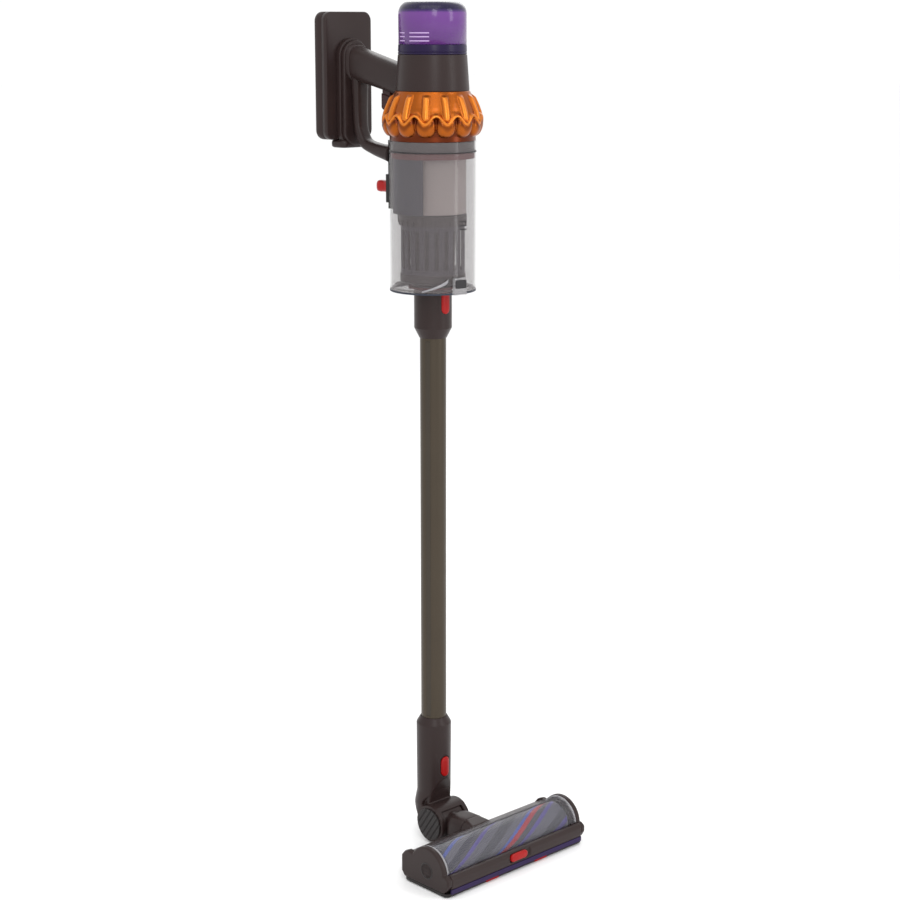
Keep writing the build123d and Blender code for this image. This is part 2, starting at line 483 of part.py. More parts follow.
def head_front():
    back = BRUSH_Y - CHAMBER_R - 1.5
    lip = side_plate([(back, LIP_FOOT), (LIP_FRONT + 1, LIP_FOOT), (LIP_FRONT, 18), (LIP_FRONT, 26),
                      (LIP_FRONT + 2, 30), (LIP_FRONT + 6, LIP_TOP), (back, LIP_TOP - 1)], -CAP_X, CAP_X)
    lip -= rod_x(HOOD_R + 0.05, -130, 130, BRUSH_Y, BRUSH_Z) - rod_x(HOOD_R - 3, -130, 130, BRUSH_Y, BRUSH_Z)
    lip -= rod_x(CHAMBER_R, -130, 130, BRUSH_Y, BRUSH_Z)
    travel, slider_half = 6.0, 16.0
    recess = block(-slider_half - 0.5, slider_half + travel + 0.5, LIP_FRONT - 5, LIP_FRONT + 2.6, 16.5, 28.5)
    lip -= recess
    slider = soft_block(-slider_half, slider_half, LIP_FRONT - 2.0, LIP_FRONT + 2.4, 17, 28, 2.1)
    slot_y0, slot_y1 = LIP_FRONT + 3.6, LIP_FRONT + 7.4
    gates = []
    for x in (-GATE_X, GATE_X):
        lip -= block(x - 12.3, x + 12.3, slot_y0, slot_y1, 0, 24)
        gates.append(block(x - 12, x + 12, slot_y0 + 0.3, slot_y1 - 0.3, 1.2, 17))
    strip = block(-CAP_X, CAP_X, LIP_FRONT + 0.5, LIP_FRONT + 3.2, SOLE_Z1, LIP_FOOT)
    sole = block(-HEAD_HALF + 1, HEAD_HALF - 1, LIP_FRONT + 3.6, HEAD_REAR - 4, SOLE_Z0, SOLE_Z1)
    sole = fillet(edges_along(sole, Axis.Z), 8.0)
    sole -= block(-118, 118, BRUSH_Y - 20.5, BRUSH_Y + 20.5, 0, 10)
    for x in (-GATE_X, GATE_X):
        sole -= block(x - 12.3, x + 12.3, slot_y0 - 1, slot_y1, 0, 10)
    for x in (-WHEEL_X, WHEEL_X):
        sole -= block(x - 6, x + 6, WHEEL_Y - 10.5, HEAD_REAR + 2, 0, 10)
        sole -= block(x - 10.5, x + 10.5, WHEEL_Y - 2.5, WHEEL_Y + 2.5, 4, 10)
    for x in (-ROLLER_X, ROLLER_X):
        sole -= block(x - 4.6, x + 4.6, ROLLER_Y - 5.6, ROLLER_Y + 5.6, 0, 10)
        for side in (x - 7, x + 5):
            sole += block(side, side + 2, ROLLER_Y - 3, ROLLER_Y + 3, SOLE_Z1, ROLLER_R + 3)
        sole -= rod_x(1.25, x - 12, x + 12, ROLLER_Y, ROLLER_R)
    return {"front_bar": lip, "gate_slider": slider, "suction_gates": together(*gates),
            "soft_strip": strip, "sole_plate": sole}


def brush():
    core = rod_x(CORE_R, -112, 112, BRUSH_Y, BRUSH_Z) - rod_x(18.0, -108, 114, BRUSH_Y, BRUSH_Z)
    core -= rod_x(4.0 + PIN_SLIP, -114, -100, BRUSH_Y, BRUSH_Z)
    sleeve = rod_x(BRUSH_R, -116, 116, BRUSH_Y, BRUSH_Z) - rod_x(CORE_R, -120, 120, BRUSH_Y, BRUSH_Z)
    motor_can = rod_x(16.0, 20, 117, BRUSH_Y, BRUSH_Z) + rod_x(20.0, 117, CAP_X, BRUSH_Y, BRUSH_Z)
    return {"brush_core": core, "brush_sleeve": sleeve, "brush_motor": motor_can}


def wheels():
    nodes, rollers = {}, []
    for side, x in (("left", -1), ("right", 1)):
        wheel_x, roller_x = x * WHEEL_X, x * ROLLER_X
        wheel = rod_x(WHEEL_R, wheel_x - 5, wheel_x + 5, WHEEL_Y, WHEEL_R)
        wheel = fillet(wheel.edges().filter_by(GeomType.CIRCLE), 1.5)
        nodes["rear_wheel_" + side] = wheel - rod_x(2.0, wheel_x - 8, wheel_x + 8, WHEEL_Y, WHEEL_R)
        roller = rod_x(ROLLER_R, roller_x - 4, roller_x + 4, ROLLER_Y, ROLLER_R)
        rollers.append(roller - rod_x(1.25, roller_x - 8, roller_x + 8, ROLLER_Y, ROLLER_R))
    axles = [rod_x(2.0 - PIN_SLIP, x - 9.5, x + 9.5, WHEEL_Y, WHEEL_R) for x in (-WHEEL_X, WHEEL_X)]
    pins = [rod_x(1.25 - PIN_SLIP, x - 7, x + 7, ROLLER_Y, ROLLER_R) for x in (-ROLLER_X, ROLLER_X)]
    nodes["front_rollers"] = together(*rollers)
    nodes["axles"] = together(*axles, *pins)
    return nodes


# Writing --------------------------------------------------------------------------------------------------
def main():
    os.makedirs("parts", exist_ok=True)
    groups = (filter_unit, display, motor, cyclone_pack, separator, dust_bin, handle, battery, wand, neck,
              head_shell, end_caps, head_front, brush, wheels)
    for group in groups:
        for name, shape in group().items():
            export_step(Pos(0, WAND_Y, 0) * shape, os.path.join("parts", name + ".step"))


main()
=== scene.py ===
"""Cordless stick vacuum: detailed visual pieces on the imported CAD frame.

Lengths in the shape code are millimetres about the wand's axis. make() turns them into the frame's metres.
"""

import bmesh
import bpy
import json
from math import atan2, cos, exp, pi, radians, sin, sqrt, tan
from mathutils import Matrix, Vector


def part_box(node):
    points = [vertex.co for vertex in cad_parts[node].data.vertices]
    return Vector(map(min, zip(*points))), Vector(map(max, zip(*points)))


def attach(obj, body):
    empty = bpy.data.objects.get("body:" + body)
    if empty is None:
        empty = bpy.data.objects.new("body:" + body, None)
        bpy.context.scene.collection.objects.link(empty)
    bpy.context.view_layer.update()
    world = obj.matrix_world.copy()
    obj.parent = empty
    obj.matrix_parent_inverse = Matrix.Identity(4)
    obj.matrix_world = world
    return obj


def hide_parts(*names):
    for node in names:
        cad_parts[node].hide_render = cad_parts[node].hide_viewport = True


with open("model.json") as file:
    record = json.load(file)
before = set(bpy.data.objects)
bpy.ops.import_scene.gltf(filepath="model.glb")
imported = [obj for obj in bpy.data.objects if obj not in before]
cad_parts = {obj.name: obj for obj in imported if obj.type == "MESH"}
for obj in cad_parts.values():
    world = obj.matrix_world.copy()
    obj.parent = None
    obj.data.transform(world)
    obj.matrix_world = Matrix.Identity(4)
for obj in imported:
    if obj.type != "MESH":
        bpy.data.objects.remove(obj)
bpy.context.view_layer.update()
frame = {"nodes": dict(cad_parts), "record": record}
NODES = frame["nodes"]
MM = 0.001


def span(node):
    """A CAD node's box in millimetres about the wand's axis."""
    low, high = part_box(node)
    shift = Vector((0.0, WAND_Y, 0.0))
    return (low - shift) / MM, (high - shift) / MM


tube_low, tube_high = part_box("wand_tube")
WAND_Y = (tube_low.y + tube_high.y) / 2
AZIMUTH = radians(43.3)  # the camera's place round the object
SIGHT = Vector((sin(AZIMUTH), cos(AZIMUTH), 0.0))
ASIDE = Vector((cos(AZIMUTH), -sin(AZIMUTH), 0.0))


# Camera ----------------------------------------------------------------------
def place_camera():
    """The camera at its measured place, without shift."""
    distance, height, aside = 2538.0, 1134.0, 22.9
    pitch = radians(12.67)
    data = bpy.data.cameras.new("view")
    data.lens = 76.0
    data.sensor_width = 36.0
    data.clip_end = 100.0
    camera = bpy.data.objects.new("view", data)
    bpy.context.scene.collection.objects.link(camera)
    place = (ASIDE * aside - SIGHT * distance) * MM + Vector((0, WAND_Y, height * MM))
    forward = SIGHT * cos(pitch) - Vector((0, 0, sin(pitch)))
    up = SIGHT * sin(pitch) + Vector((0, 0, cos(pitch)))
    axes = Matrix((ASIDE, up, -forward)).transposed().to_4x4()
    camera.matrix_world = Matrix.Translation(place) @ axes
    bpy.context.scene.camera = camera


# Materials -------------------------------------------------------------------
def tone(red, green, blue):
    """A linear colour from 0-255 screen values."""
    def linear(value):
        value = value / 255
        return value / 12.92 if value <= 0.04045 else ((value + 0.055) / 1.055) ** 2.4
    return (linear(red), linear(green), linear(blue), 1.0)


def scaled(colour, factor):
    """A lighter or darker copy of a colour."""
    return tuple(min(1.0, channel * factor) for channel in colour[:3]) + (1.0,)


def blank(name):
    """A new material with its nodes, links and shader."""
    material = bpy.data.materials.new(name)
    material.use_nodes = True
    tree = material.node_tree
    return material, tree.nodes, tree.links, tree.nodes["Principled BSDF"]


def noise_node(nodes, links, coordinates, scale, detail=3.0, stretch=None):
    """Noise from 0 to 1, stretched along an axis if wanted."""
    texture = nodes.new("ShaderNodeTexNoise")
    texture.inputs["Scale"].default_value = scale
    texture.inputs["Detail"].default_value = detail
    if stretch:
        mapping = nodes.new("ShaderNodeMapping")
        mapping.inputs["Scale"].default_value = stretch
        links.new(coordinates, mapping.inputs["Vector"])
        coordinates = mapping.outputs["Vector"]
    links.new(coordinates, texture.inputs["Vector"])
    return texture.outputs["Fac"]


def ramp_node(nodes, links, factor, stops, constant=False):
    """Colours by a factor from 0 to 1, blended or in bands."""
    ramp = nodes.new("ShaderNodeValToRGB")
    ramp.color_ramp.interpolation = "CONSTANT" if constant else "LINEAR"
    elements = ramp.color_ramp.elements
    while len(elements) < len(stops):
        elements.new(0.5)
    for element, (position, colour) in zip(elements, stops):
        element.position = position
        element.color = colour
    links.new(factor, ramp.inputs["Fac"])
    return ramp.outputs["Color"]


def span_node(nodes, links, factor, low, high):
    """A factor from 0 to 1 turned into a value between two limits."""
    spread = nodes.new("ShaderNodeMapRange")
    spread.inputs["To Min"].default_value = low
    spread.inputs["To Max"].default_value = high
    links.new(factor, spread.inputs["Value"])
    return spread.outputs["Result"]


def bump_node(nodes, links, height, strength, distance, shader):
    """Fine relief on a shader's surface."""
    bump = nodes.new("ShaderNodeBump")
    bump.inputs["Strength"].default_value = strength
    bump.inputs["Distance"].default_value = distance
    links.new(height, bump.inputs["Height"])
    links.new(bump.outputs["Normal"], shader.inputs["Normal"])


def moulded(name, colour, rough=0.42, grain=1400.0, bump=0.12, vary=0.08, coat=0.0,
            metallic=0.0, stretch=None, spread=0.07, gloss=0.3):
    """Moulded plastic, rubber or metal: faint mottling, an uneven gloss and a fine grain."""
    material, nodes, links, shader = blank(name)
    place = nodes.new("ShaderNodeTexCoord").outputs["Object"]
    mottle = noise_node(nodes, links, place, 14.0, 4.0)
    base = ramp_node(nodes, links, mottle,
                     [(0.3, scaled(colour, 1 - vary)), (0.7, scaled(colour, 1 + vary))])
    links.new(base, shader.inputs["Base Color"])
    smear = noise_node(nodes, links, place, 55.0, 5.0)
    links.new(span_node(nodes, links, smear, rough - spread, rough + spread), shader.inputs["Roughness"])
    fine = noise_node(nodes, links, place, grain, 2.0, stretch)
    bump_node(nodes, links, fine, bump, 0.00025, shader)
    shader.inputs["Metallic"].default_value = metallic
    shader.inputs["Specular IOR Level"].default_value = gloss
    shader.inputs["Coat Weight"].default_value = coat
    shader.inputs["Coat Roughness"].default_value = 0.12
    return material


def clear(name, colour, alpha, rough=0.06, coat=0.0):
    """Clear moulded plastic with faint flow marks. Each face hides a part of what is behind."""
    material, nodes, links, shader = blank(name)
    place = nodes.new("ShaderNodeTexCoord").outputs["Object"]
    flow = noise_node(nodes, links, place, 9.0, 3.0, (1.0, 1.0, 0.35))
    base = ramp_node(nodes, links, flow, [(0.3, scaled(colour, 0.95)), (0.7, scaled(colour, 1.04))])
    links.new(base, shader.inputs["Base Color"])
    links.new(span_node(nodes, links, flow, rough, rough + 0.05), shader.inputs["Roughness"])
    shader.inputs["Alpha"].default_value = alpha
    shader.inputs["Coat Weight"].default_value = coat
    return material


def tinted_by_height(name, low, high, stops, alpha, rough=0.16):
    """Clear coloured plastic whose colour deepens with height, between two heights in metres."""
    material, nodes, links, shader = blank(name)
    place = nodes.new("ShaderNodeTexCoord").outputs["Object"]
    split = nodes.new("ShaderNodeSeparateXYZ")
    links.new(place, split.inputs["Vector"])
    rise = nodes.new("ShaderNodeMapRange")
    rise.inputs["From Min"].default_value = low
    rise.inputs["From Max"].default_value = high
    links.new(split.outputs["Z"], rise.inputs["Value"])
    base = ramp_node(nodes, links, rise.outputs["Result"], stops)
    links.new(base, shader.inputs["Base Color"])
    flow = noise_node(nodes, links, place, 60.0, 3.0)
    links.new(span_node(nodes, links, flow, rough, rough + 0.08), shader.inputs["Roughness"])
    shader.inputs["Alpha"].default_value = alpha
    shader.inputs["Specular IOR Level"].default_value = 0.3
    shader.inputs["Coat Weight"].default_value = 0.25
    shader.inputs["Coat Roughness"].default_value = 0.08
    return material


def angle_about(nodes, links, place, centre_y, centre_z):
    """The turn of a point about an axis along X, from 0 to 1."""
    split = nodes.new("ShaderNodeSeparateXYZ")
    links.new(place, split.inputs["Vector"])
    parts = []
    for output, centre in (("Y", centre_y), ("Z", centre_z)):
        shift = nodes.new("ShaderNodeMath")
        shift.operation = "SUBTRACT"
        shift.inputs[1].default_value = centre
        links.new(split.outputs[output], shift.inputs[0])
        parts.append(shift.outputs[0])
    turn = nodes.new("ShaderNodeMath")
    turn.operation = "ARCTAN2"
    links.new(parts[1], turn.inputs[0])
    links.new(parts[0], turn.inputs[1])
    part = nodes.new("ShaderNodeMath")
    part.operation = "DIVIDE"
    part.inputs[1].default_value = 2 * pi
    links.new(turn.outputs[0], part.inputs[0])
    return part.outputs[0], split.outputs["X"]


def brush_pile(name):
    """Cut pile in helical bands: mostly grey, with violet, blue and red bands."""
    helix_lead, first_turn, raggedness = 0.336, 0.317, 0.012
    material, nodes, links, shader = blank(name)
    low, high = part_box("brush_sleeve")
    place = nodes.new("ShaderNodeTexCoord").outputs["Object"]
    turn, along = angle_about(nodes, links, place, (low.y + high.y) / 2, (low.z + high.z) / 2)
    run = nodes.new("ShaderNodeMath")
    run.operation = "MULTIPLY_ADD"
    run.inputs[1].default_value = 1 / helix_lead
    run.inputs[2].default_value = first_turn
    links.new(along, run.inputs[0])
    sweep = nodes.new("ShaderNodeMath")
    sweep.operation = "ADD"
    links.new(turn, sweep.inputs[0])
    links.new(run.outputs[0], sweep.inputs[1])
    fuzz = noise_node(nodes, links, place, 260.0, 2.0)
    wander = nodes.new("ShaderNodeMath")
    wander.operation = "MULTIPLY_ADD"
    wander.inputs[1].default_value = raggedness
    links.new(fuzz, wander.inputs[0])
    links.new(sweep.outputs[0], wander.inputs[2])
    fraction = nodes.new("ShaderNodeMath")
    fraction.operation = "FRACT"
    links.new(wander.outputs[0], fraction.inputs[0])
    grey, pale, dark = tone(54, 54, 62), tone(78, 77, 88), tone(36, 35, 50)
    violet, blue, red = tone(70, 58, 130), tone(58, 74, 150), tone(150, 24, 38)
    bands = [(0.0, grey), (0.08, violet), (0.13, pale), (0.22, grey), (0.31, blue), (0.34, pale),
             (0.41, dark), (0.46, grey), (0.49, violet), (0.525, pale), (0.60, grey), (0.68, pale),
             (0.745, blue), (0.772, red), (0.815, grey), (0.865, violet), (0.90, pale)]
    base = ramp_node(nodes, links, fraction.outputs[0], bands, constant=True)
    pile = noise_node(nodes, links, place, 900.0, 3.0, (0.35, 1.0, 1.0))
    shade = nodes.new("ShaderNodeMix")
    shade.data_type = "RGBA"
    shade.blend_type = "MULTIPLY"
    shade.inputs["Factor"].default_value = 0.25
    links.new(base, shade.inputs[6])
    links.new(pile, shade.inputs[7])
    links.new(shade.outputs[2], shader.inputs["Base Color"])
    links.new(span_node(nodes, links, pile, 0.75, 0.98), shader.inputs["Roughness"])
    shader.inputs["Sheen Weight"].default_value = 0.15
    shader.inputs["Sheen Roughness"].default_value = 0.4
    bump_node(nodes, links, pile, 0.45, 0.0006, shader)
    return material


def relief_shaded_metallic(name):
    """Orange metallic moulding: its colour is darker in the hollows (painted shade) and lighter on the ribs
    and ribbon (painted highlight), following the pack's per-point shading value.
    """
    material, nodes, links, shader = blank(name)
    relief_shading = nodes.new("ShaderNodeAttribute")
    relief_shading.attribute_name = "relief_shading"
    place = nodes.new("ShaderNodeTexCoord").outputs["Object"]
    mottle = noise_node(nodes, links, place, 30.0, 4.0)
    drift = nodes.new("ShaderNodeMath")
    drift.operation = "MULTIPLY_ADD"
    drift.inputs[1].default_value = 0.08
    links.new(mottle, drift.inputs[0])
    links.new(relief_shading.outputs["Fac"], drift.inputs[2])
    # painted shade (dark brown) in the hollows up to painted highlight (pale orange) on the crests
    base = ramp_node(nodes, links, drift.outputs[0],
                     [(0.04, tone(92, 36, 8)), (0.30, tone(148, 74, 12)), (0.62, tone(170, 86, 18)),
                      (0.98, tone(208, 120, 40))])
    links.new(base, shader.inputs["Base Color"])
    links.new(span_node(nodes, links, mottle, 0.24, 0.34), shader.inputs["Roughness"])
    fine = noise_node(nodes, links, place, 3200.0, 2.0)
    bump_node(nodes, links, fine, 0.08, 0.0002, shader)
    shader.inputs["Metallic"].default_value = 0.9
    shader.inputs["Coat Weight"].default_value = 0.1
    return material


def make_materials():
    filter_low, filter_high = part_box("filter_cap")
    filter_tints = [(0.0, tone(90, 45, 118)), (0.74, tone(106, 60, 134)), (0.79, tone(56, 32, 92)),
                    (0.84, tone(22, 10, 52))]
    return {
        # casings
        "shell_plastic": moulded("shell_plastic", tone(43, 32, 31), rough=0.36, grain=2400.0,
                                 bump=0.10, vary=0.05, gloss=0.22),
        "dark_plastic": moulded("dark_plastic", tone(32, 27, 27), rough=0.45, bump=0.2),
        "black_plastic": moulded("black_plastic", tone(18, 16, 17), rough=0.4, bump=0.2),
        "column_plastic": moulded("column_plastic", tone(58, 57, 62), rough=0.5, bump=0.2, vary=0.1),
        # pale beige: the sheet of painted light on the right inside the bin
        "column_painted_light": moulded("column_painted_light", tone(150, 140, 137), rough=0.5, bump=0.15, vary=0.04),
        "band_plastic": moulded("band_plastic", tone(50, 45, 44), rough=0.42, bump=0.15),
        # dark bluish grey: the door rim's own colour, and the dark sheet of painted shade inside the bin
        "rim_and_painted_shade": moulded("rim_and_painted_shade", tone(44, 48, 60), rough=0.5, bump=0.15, vary=0.12),
        "channel_plastic": moulded("channel_plastic", tone(54, 47, 38), rough=0.4),
        "wand_metal": moulded("wand_metal", tone(67, 59, 49), rough=0.34, grain=900.0, bump=0.08,
                              vary=0.04, metallic=0.55, stretch=(1.0, 1.0, 0.02)),
        # coloured pieces
        # orange with painted shade in its hollows and painted highlights on its ribs
        "orange_plastic": relief_shaded_metallic("orange_plastic"),
        "red_plastic": moulded("red_plastic", tone(150, 5, 4), rough=0.34, bump=0.1, coat=0.08,
                               gloss=0.2),
        "trigger_plastic": moulded("trigger_plastic", tone(46, 12, 12), rough=0.35, bump=0.1),
        "filter_purple": tinted_by_height("filter_purple", filter_low.z, filter_high.z,
                                          filter_tints, 0.86),
        "base_purple": moulded("base_purple", tone(24, 10, 48), rough=0.34, bump=0.08, coat=0.05,
                               gloss=0.2),
        "strip_purple": moulded("strip_purple", tone(34, 16, 62), rough=0.6, bump=0.3),
        # clear pieces
        "clear_plastic": clear("clear_plastic", tone(126, 119, 120), 0.22, coat=0.22),
        "door_clear": clear("door_clear", tone(104, 98, 98), 0.42, coat=0.3),
        "hood_clear": clear("hood_clear", tone(150, 148, 154), 0.10, coat=0.45),
        # pale grey: the hood rims' colour, and a painted highlight on the latch's wedge
        "rim_and_highlight_clear": clear("rim_and_highlight_clear", tone(150, 148, 152), 0.7, coat=0.4),
        "latch_clear": clear("latch_clear", tone(168, 166, 168), 0.42, coat=0.4),
        # inner and small pieces
        "filter_media": moulded("filter_media", tone(206, 196, 222), rough=0.85, grain=2600.0,
                                bump=0.4, vary=0.05),
        "steel": moulded("steel", tone(170, 168, 166), rough=0.3, grain=600.0, bump=0.1,
                         metallic=1.0, stretch=(1.0, 1.0, 0.05)),
        "winding": moulded("winding", tone(176, 104, 52), rough=0.35, grain=1800.0, bump=0.4,
                           metallic=0.8),
        "board": moulded("board", tone(26, 92, 46), rough=0.45, grain=1500.0, bump=0.2),
        "screen": moulded("screen", tone(12, 12, 16), rough=0.08, grain=500.0, bump=0.01, coat=1.0,
                          spread=0.02),
        "seal_red": moulded("seal_red", tone(92, 38, 38), rough=0.6, bump=0.25),
        "rubber": moulded("rubber", tone(30, 29, 30), rough=0.7, bump=0.4),
        "mesh_metal": moulded("mesh_metal", tone(56, 55, 62), rough=0.45, grain=1500.0, bump=0.1,
                              metallic=0.5),
        "cell_wrap": moulded("cell_wrap", tone(70, 140, 122), rough=0.3, bump=0.1),
        "brush_fabric": brush_pile("brush_fabric"),
        "pale_mark": moulded("pale_mark", tone(178, 150, 196), rough=0.5, bump=0.05),
        "dark_mark": moulded("dark_mark", tone(40, 38, 40), rough=0.5, bump=0.05),
    }


# Mesh tools ------------------------------------------------------------------
def make(name, shape, body, material, replaces=(), bevel=0.0):
    """An object from (points, faces) in millimetres, riding on a body."""
    points, faces = shape
    mesh = bpy.data.meshes.new(name)
    mesh.from_pydata([(x * MM, y * MM + WAND_Y, z * MM) for x, y, z in points], [], faces)
    mesh.validate()
    tidy = bmesh.new()
    tidy.from_mesh(mesh)
    bmesh.ops.recalc_face_normals(tidy, faces=tidy.faces)
    tidy.to_mesh(mesh)
    tidy.free()
    return finish_piece(name, mesh, body, material, replaces, bevel)


def finish_piece(name, mesh, body, material, replaces=(), bevel=0.0):
    """The object of a mesh, with its material, its softened edges and its place in the part."""
    mesh.polygons.foreach_set("use_smooth", [True] * len(mesh.polygons))
    mesh.materials.clear()
    mesh.materials.append(MATERIALS[material])
    mesh.update()
    piece = bpy.data.objects.new(name, mesh)
    bpy.context.scene.collection.objects.link(piece)
    if bevel:
        edge = piece.modifiers.new("edge", "BEVEL")
        edge.width = bevel * MM
        edge.segments = 3
        edge.limit_method = "ANGLE"
        edge.angle_limit = radians(32)
        edge.harden_normals = True
    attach(piece, body)
    if replaces:
        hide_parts(*replaces)
    return piece


def rounded(points, radii, steps=5):
    """A closed outline with its corners rounded; radii is one number or one per corner."""
    count = len(points)
    result = []
    for i in range(count):
        radius = radii if isinstance(radii, (int, float)) else radii[i]
        here = Vector(points[i])
        before, after = Vector(points[i - 1]) - here, Vector(points[(i + 1) % count]) - here
        if radius <= 0:
            result.append(tuple(here))
            continue
        reach = min(radius, 0.49 * before.length, 0.49 * after.length)
        start, end = here + before.normalized() * reach, here + after.normalized() * reach
        for k in range(steps + 1):
            t = k / steps
            result.append(tuple(start * (1 - t) ** 2 + here * 2 * t * (1 - t) + end * t * t))
    return result


def lathe(outline, count=128):
    """A closed outline of (radius, z) turned about the wand's axis."""
    points, faces = [], []
    rows = len(outline)
    for i in range(count):
        angle = 2 * pi * i / count
        for radius, z in outline:
            points.append((radius * cos(angle), radius * sin(angle), z))
    for i in range(count):
        j = (i + 1) % count
        for k in range(rows):
            m = (k + 1) % rows
            faces.append((i * rows + k, j * rows + k, j * rows + m, i * rows + m))
    return points, faces


def loft(rings):
    """Quads between rings of points, with both ends closed."""
    count = len(rings[0])
    points = [tuple(p) for ring in rings for p in ring]
    faces = []
    for i in range(len(rings) - 1):
        for k in range(count):
            m = (k + 1) % count
            faces.append((i * count + k, i * count + m, (i + 1) * count + m, (i + 1) * count + k))
    faces.append(tuple(reversed(range(count))))
    last = (len(rings) - 1) * count
    faces.append(tuple(range(last, last + count)))
    return points, faces


def turned_about_x(profile, centre_y, centre_z, count):
    """Rings of points round an axis along X, one for each (x, radius)."""
    return [[(x, centre_y + radius * cos(2 * pi * i / count), centre_z + radius * sin(2 * pi * i / count))
             for i in range(count)] for x, radius in profile]


def oval(centre, across, upright, half_a, half_b, power=2.6, count=56):
    """A ring of points on a rounded rectangle (superellipse)."""
    ring = []
    for i in range(count):
        c, s = cos(2 * pi * i / count), sin(2 * pi * i / count)
        a = half_a * abs(c) ** (2 / power) * (1 if c >= 0 else -1)
        b = half_b * abs(s) ** (2 / power) * (1 if s >= 0 else -1)
        ring.append(Vector(centre) + Vector(across) * a + Vector(upright) * b)
    return ring


def curve_through(points, steps=8):
    """Catmull-Rom points through the given ones."""
    knots = [Vector(p) for p in points]
    knots = [knots[0] * 2 - knots[1]] + knots + [knots[-1] * 2 - knots[-2]]
    result = []
    for i in range(1, len(knots) - 2):
        a, b, c, d = knots[i - 1:i + 3]
        for k in range(steps):
            t = k / steps
            result.append(0.5 * (2 * b + (c - a) * t + (2 * a - 5 * b + 4 * c - d) * t * t
                                 + (3 * b - a - 3 * c + d) * t ** 3))
    result.append(knots[-2])
    return result


def plate(outline, axis, low, high, edge=1.0, steps=4):
    """A flat plate with rounded rims: the outline lies across the axis ('x', 'y' or 'z')."""
    centre_a = sum(p[0] for p in outline) / len(outline)
    centre_b = sum(p[1] for p in outline) / len(outline)
    reach_a = max(abs(p[0] - centre_a) for p in outline)
    reach_b = max(abs(p[1] - centre_b) for p in outline)
    quarter = [radians(90 * k / steps) for k in range(steps + 1)]
    stations = [(low + edge * (1 - cos(t)), edge * (1 - sin(t))) for t in quarter]
    stations += [(high - edge * (1 - cos(t)), edge * (1 - sin(t))) for t in reversed(quarter)]
    rings = []
    for place, inset in stations:
        ring = []
        for a, b in outline:
            a = centre_a + (a - centre_a) * (1 - inset / reach_a)
            b = centre_b + (b - centre_b) * (1 - inset / reach_b)
            ring.append({"x": (place, a, b), "y": (a, place, b), "z": (a, b, place)}[axis])
        rings.append(ring)
    return loft(rings)


def stadium_outline(half_width, low, high, count=20):
    """(x, z) points of an upright slot shape."""
    result = []
    for centre, start in ((high - half_width, 0.0), (low + half_width, pi)):
        for k in range(count + 1):
            angle = start + pi * k / count
            result.append((half_width * cos(angle), centre + half_width * sin(angle)))
    return result


def box_outline(low_a, high_a, low_b, high_b, radius, steps=8):
    """A rectangle with true round corners."""
    result = []
    corners = ((high_a - radius, high_b - radius, 0), (low_a + radius, high_b - radius, 90),
               (low_a + radius, low_b + radius, 180), (high_a - radius, low_b + radius, 270))
    for a, b, start in corners:
        for k in range(steps + 1):
            angle = radians(start + 90 * k / steps)
            result.append((a + radius * cos(angle), b + radius * sin(angle)))
    return result


def softened(name, nodes, body, material, voxel=1.0, rounds=4, strength=0.6):
    """A smooth-edged copy of CAD nodes, for moulded shells whose edges are all rounded."""
    points, faces = [], []
    for node in nodes:
        source = NODES[node].data
        start = len(points)
        points += [tuple(v.co) for v in source.vertices]
        faces += [tuple(start + i for i in p.vertices) for p in source.polygons]
    mesh = bpy.data.meshes.new(name + "_raw")
    mesh.from_pydata(points, [], faces)
    raw = bpy.data.objects.new(name + "_raw", mesh)
    bpy.context.scene.collection.objects.link(raw)
    weld = raw.modifiers.new("weld", "WELD")
    weld.merge_threshold = 0.01 * MM
    grid = raw.modifiers.new("grid", "REMESH")
    grid.mode = "VOXEL"
    grid.voxel_size = voxel * MM
    relax = raw.modifiers.new("relax", "SMOOTH")
    relax.factor = strength
    relax.iterations = rounds
    evaluated = raw.evaluated_get(bpy.context.evaluated_depsgraph_get())
    final = bpy.data.meshes.new_from_object(evaluated)
    bpy.data.objects.remove(raw)
    final.name = name
    return finish_piece(name, final, body, material, nodes)


# Filter and top --------------------------------------------------------------
def toward(turn):
    """The level direction at a turn round the object from the view direction."""
    return -SIGHT * cos(turn) + ASIDE * sin(turn)


def curved_band(inner, outer, start, end, foot, top, count):
    """An upright band round the wand's axis, between two turns in degrees."""
    low, high = Vector((0, 0, foot)), Vector((0, 0, top))
    rings = []
    for k in range(count + 1):
        way = toward(radians(start + (end - start) * k / count))
        rings.append([way * inner + low, way * outer + low, way * outer + high, way * inner + high])
    return loft(rings)


def printed_line(radius, height, start, end, z, proud):
    """A thin raised line on an upright round face."""
    sunk = 0.3
    return curved_band(radius - sunk, radius + proud, start, end, z - height / 2, z + height / 2, 24)


def merged(shapes):
    """Several shapes as one."""
    points, faces = [], []
    for more, quads in shapes:
        start = len(points)
        points += [tuple(p) for p in more]
        faces += [tuple(start + i for i in face) for face in quads]
    return points, faces


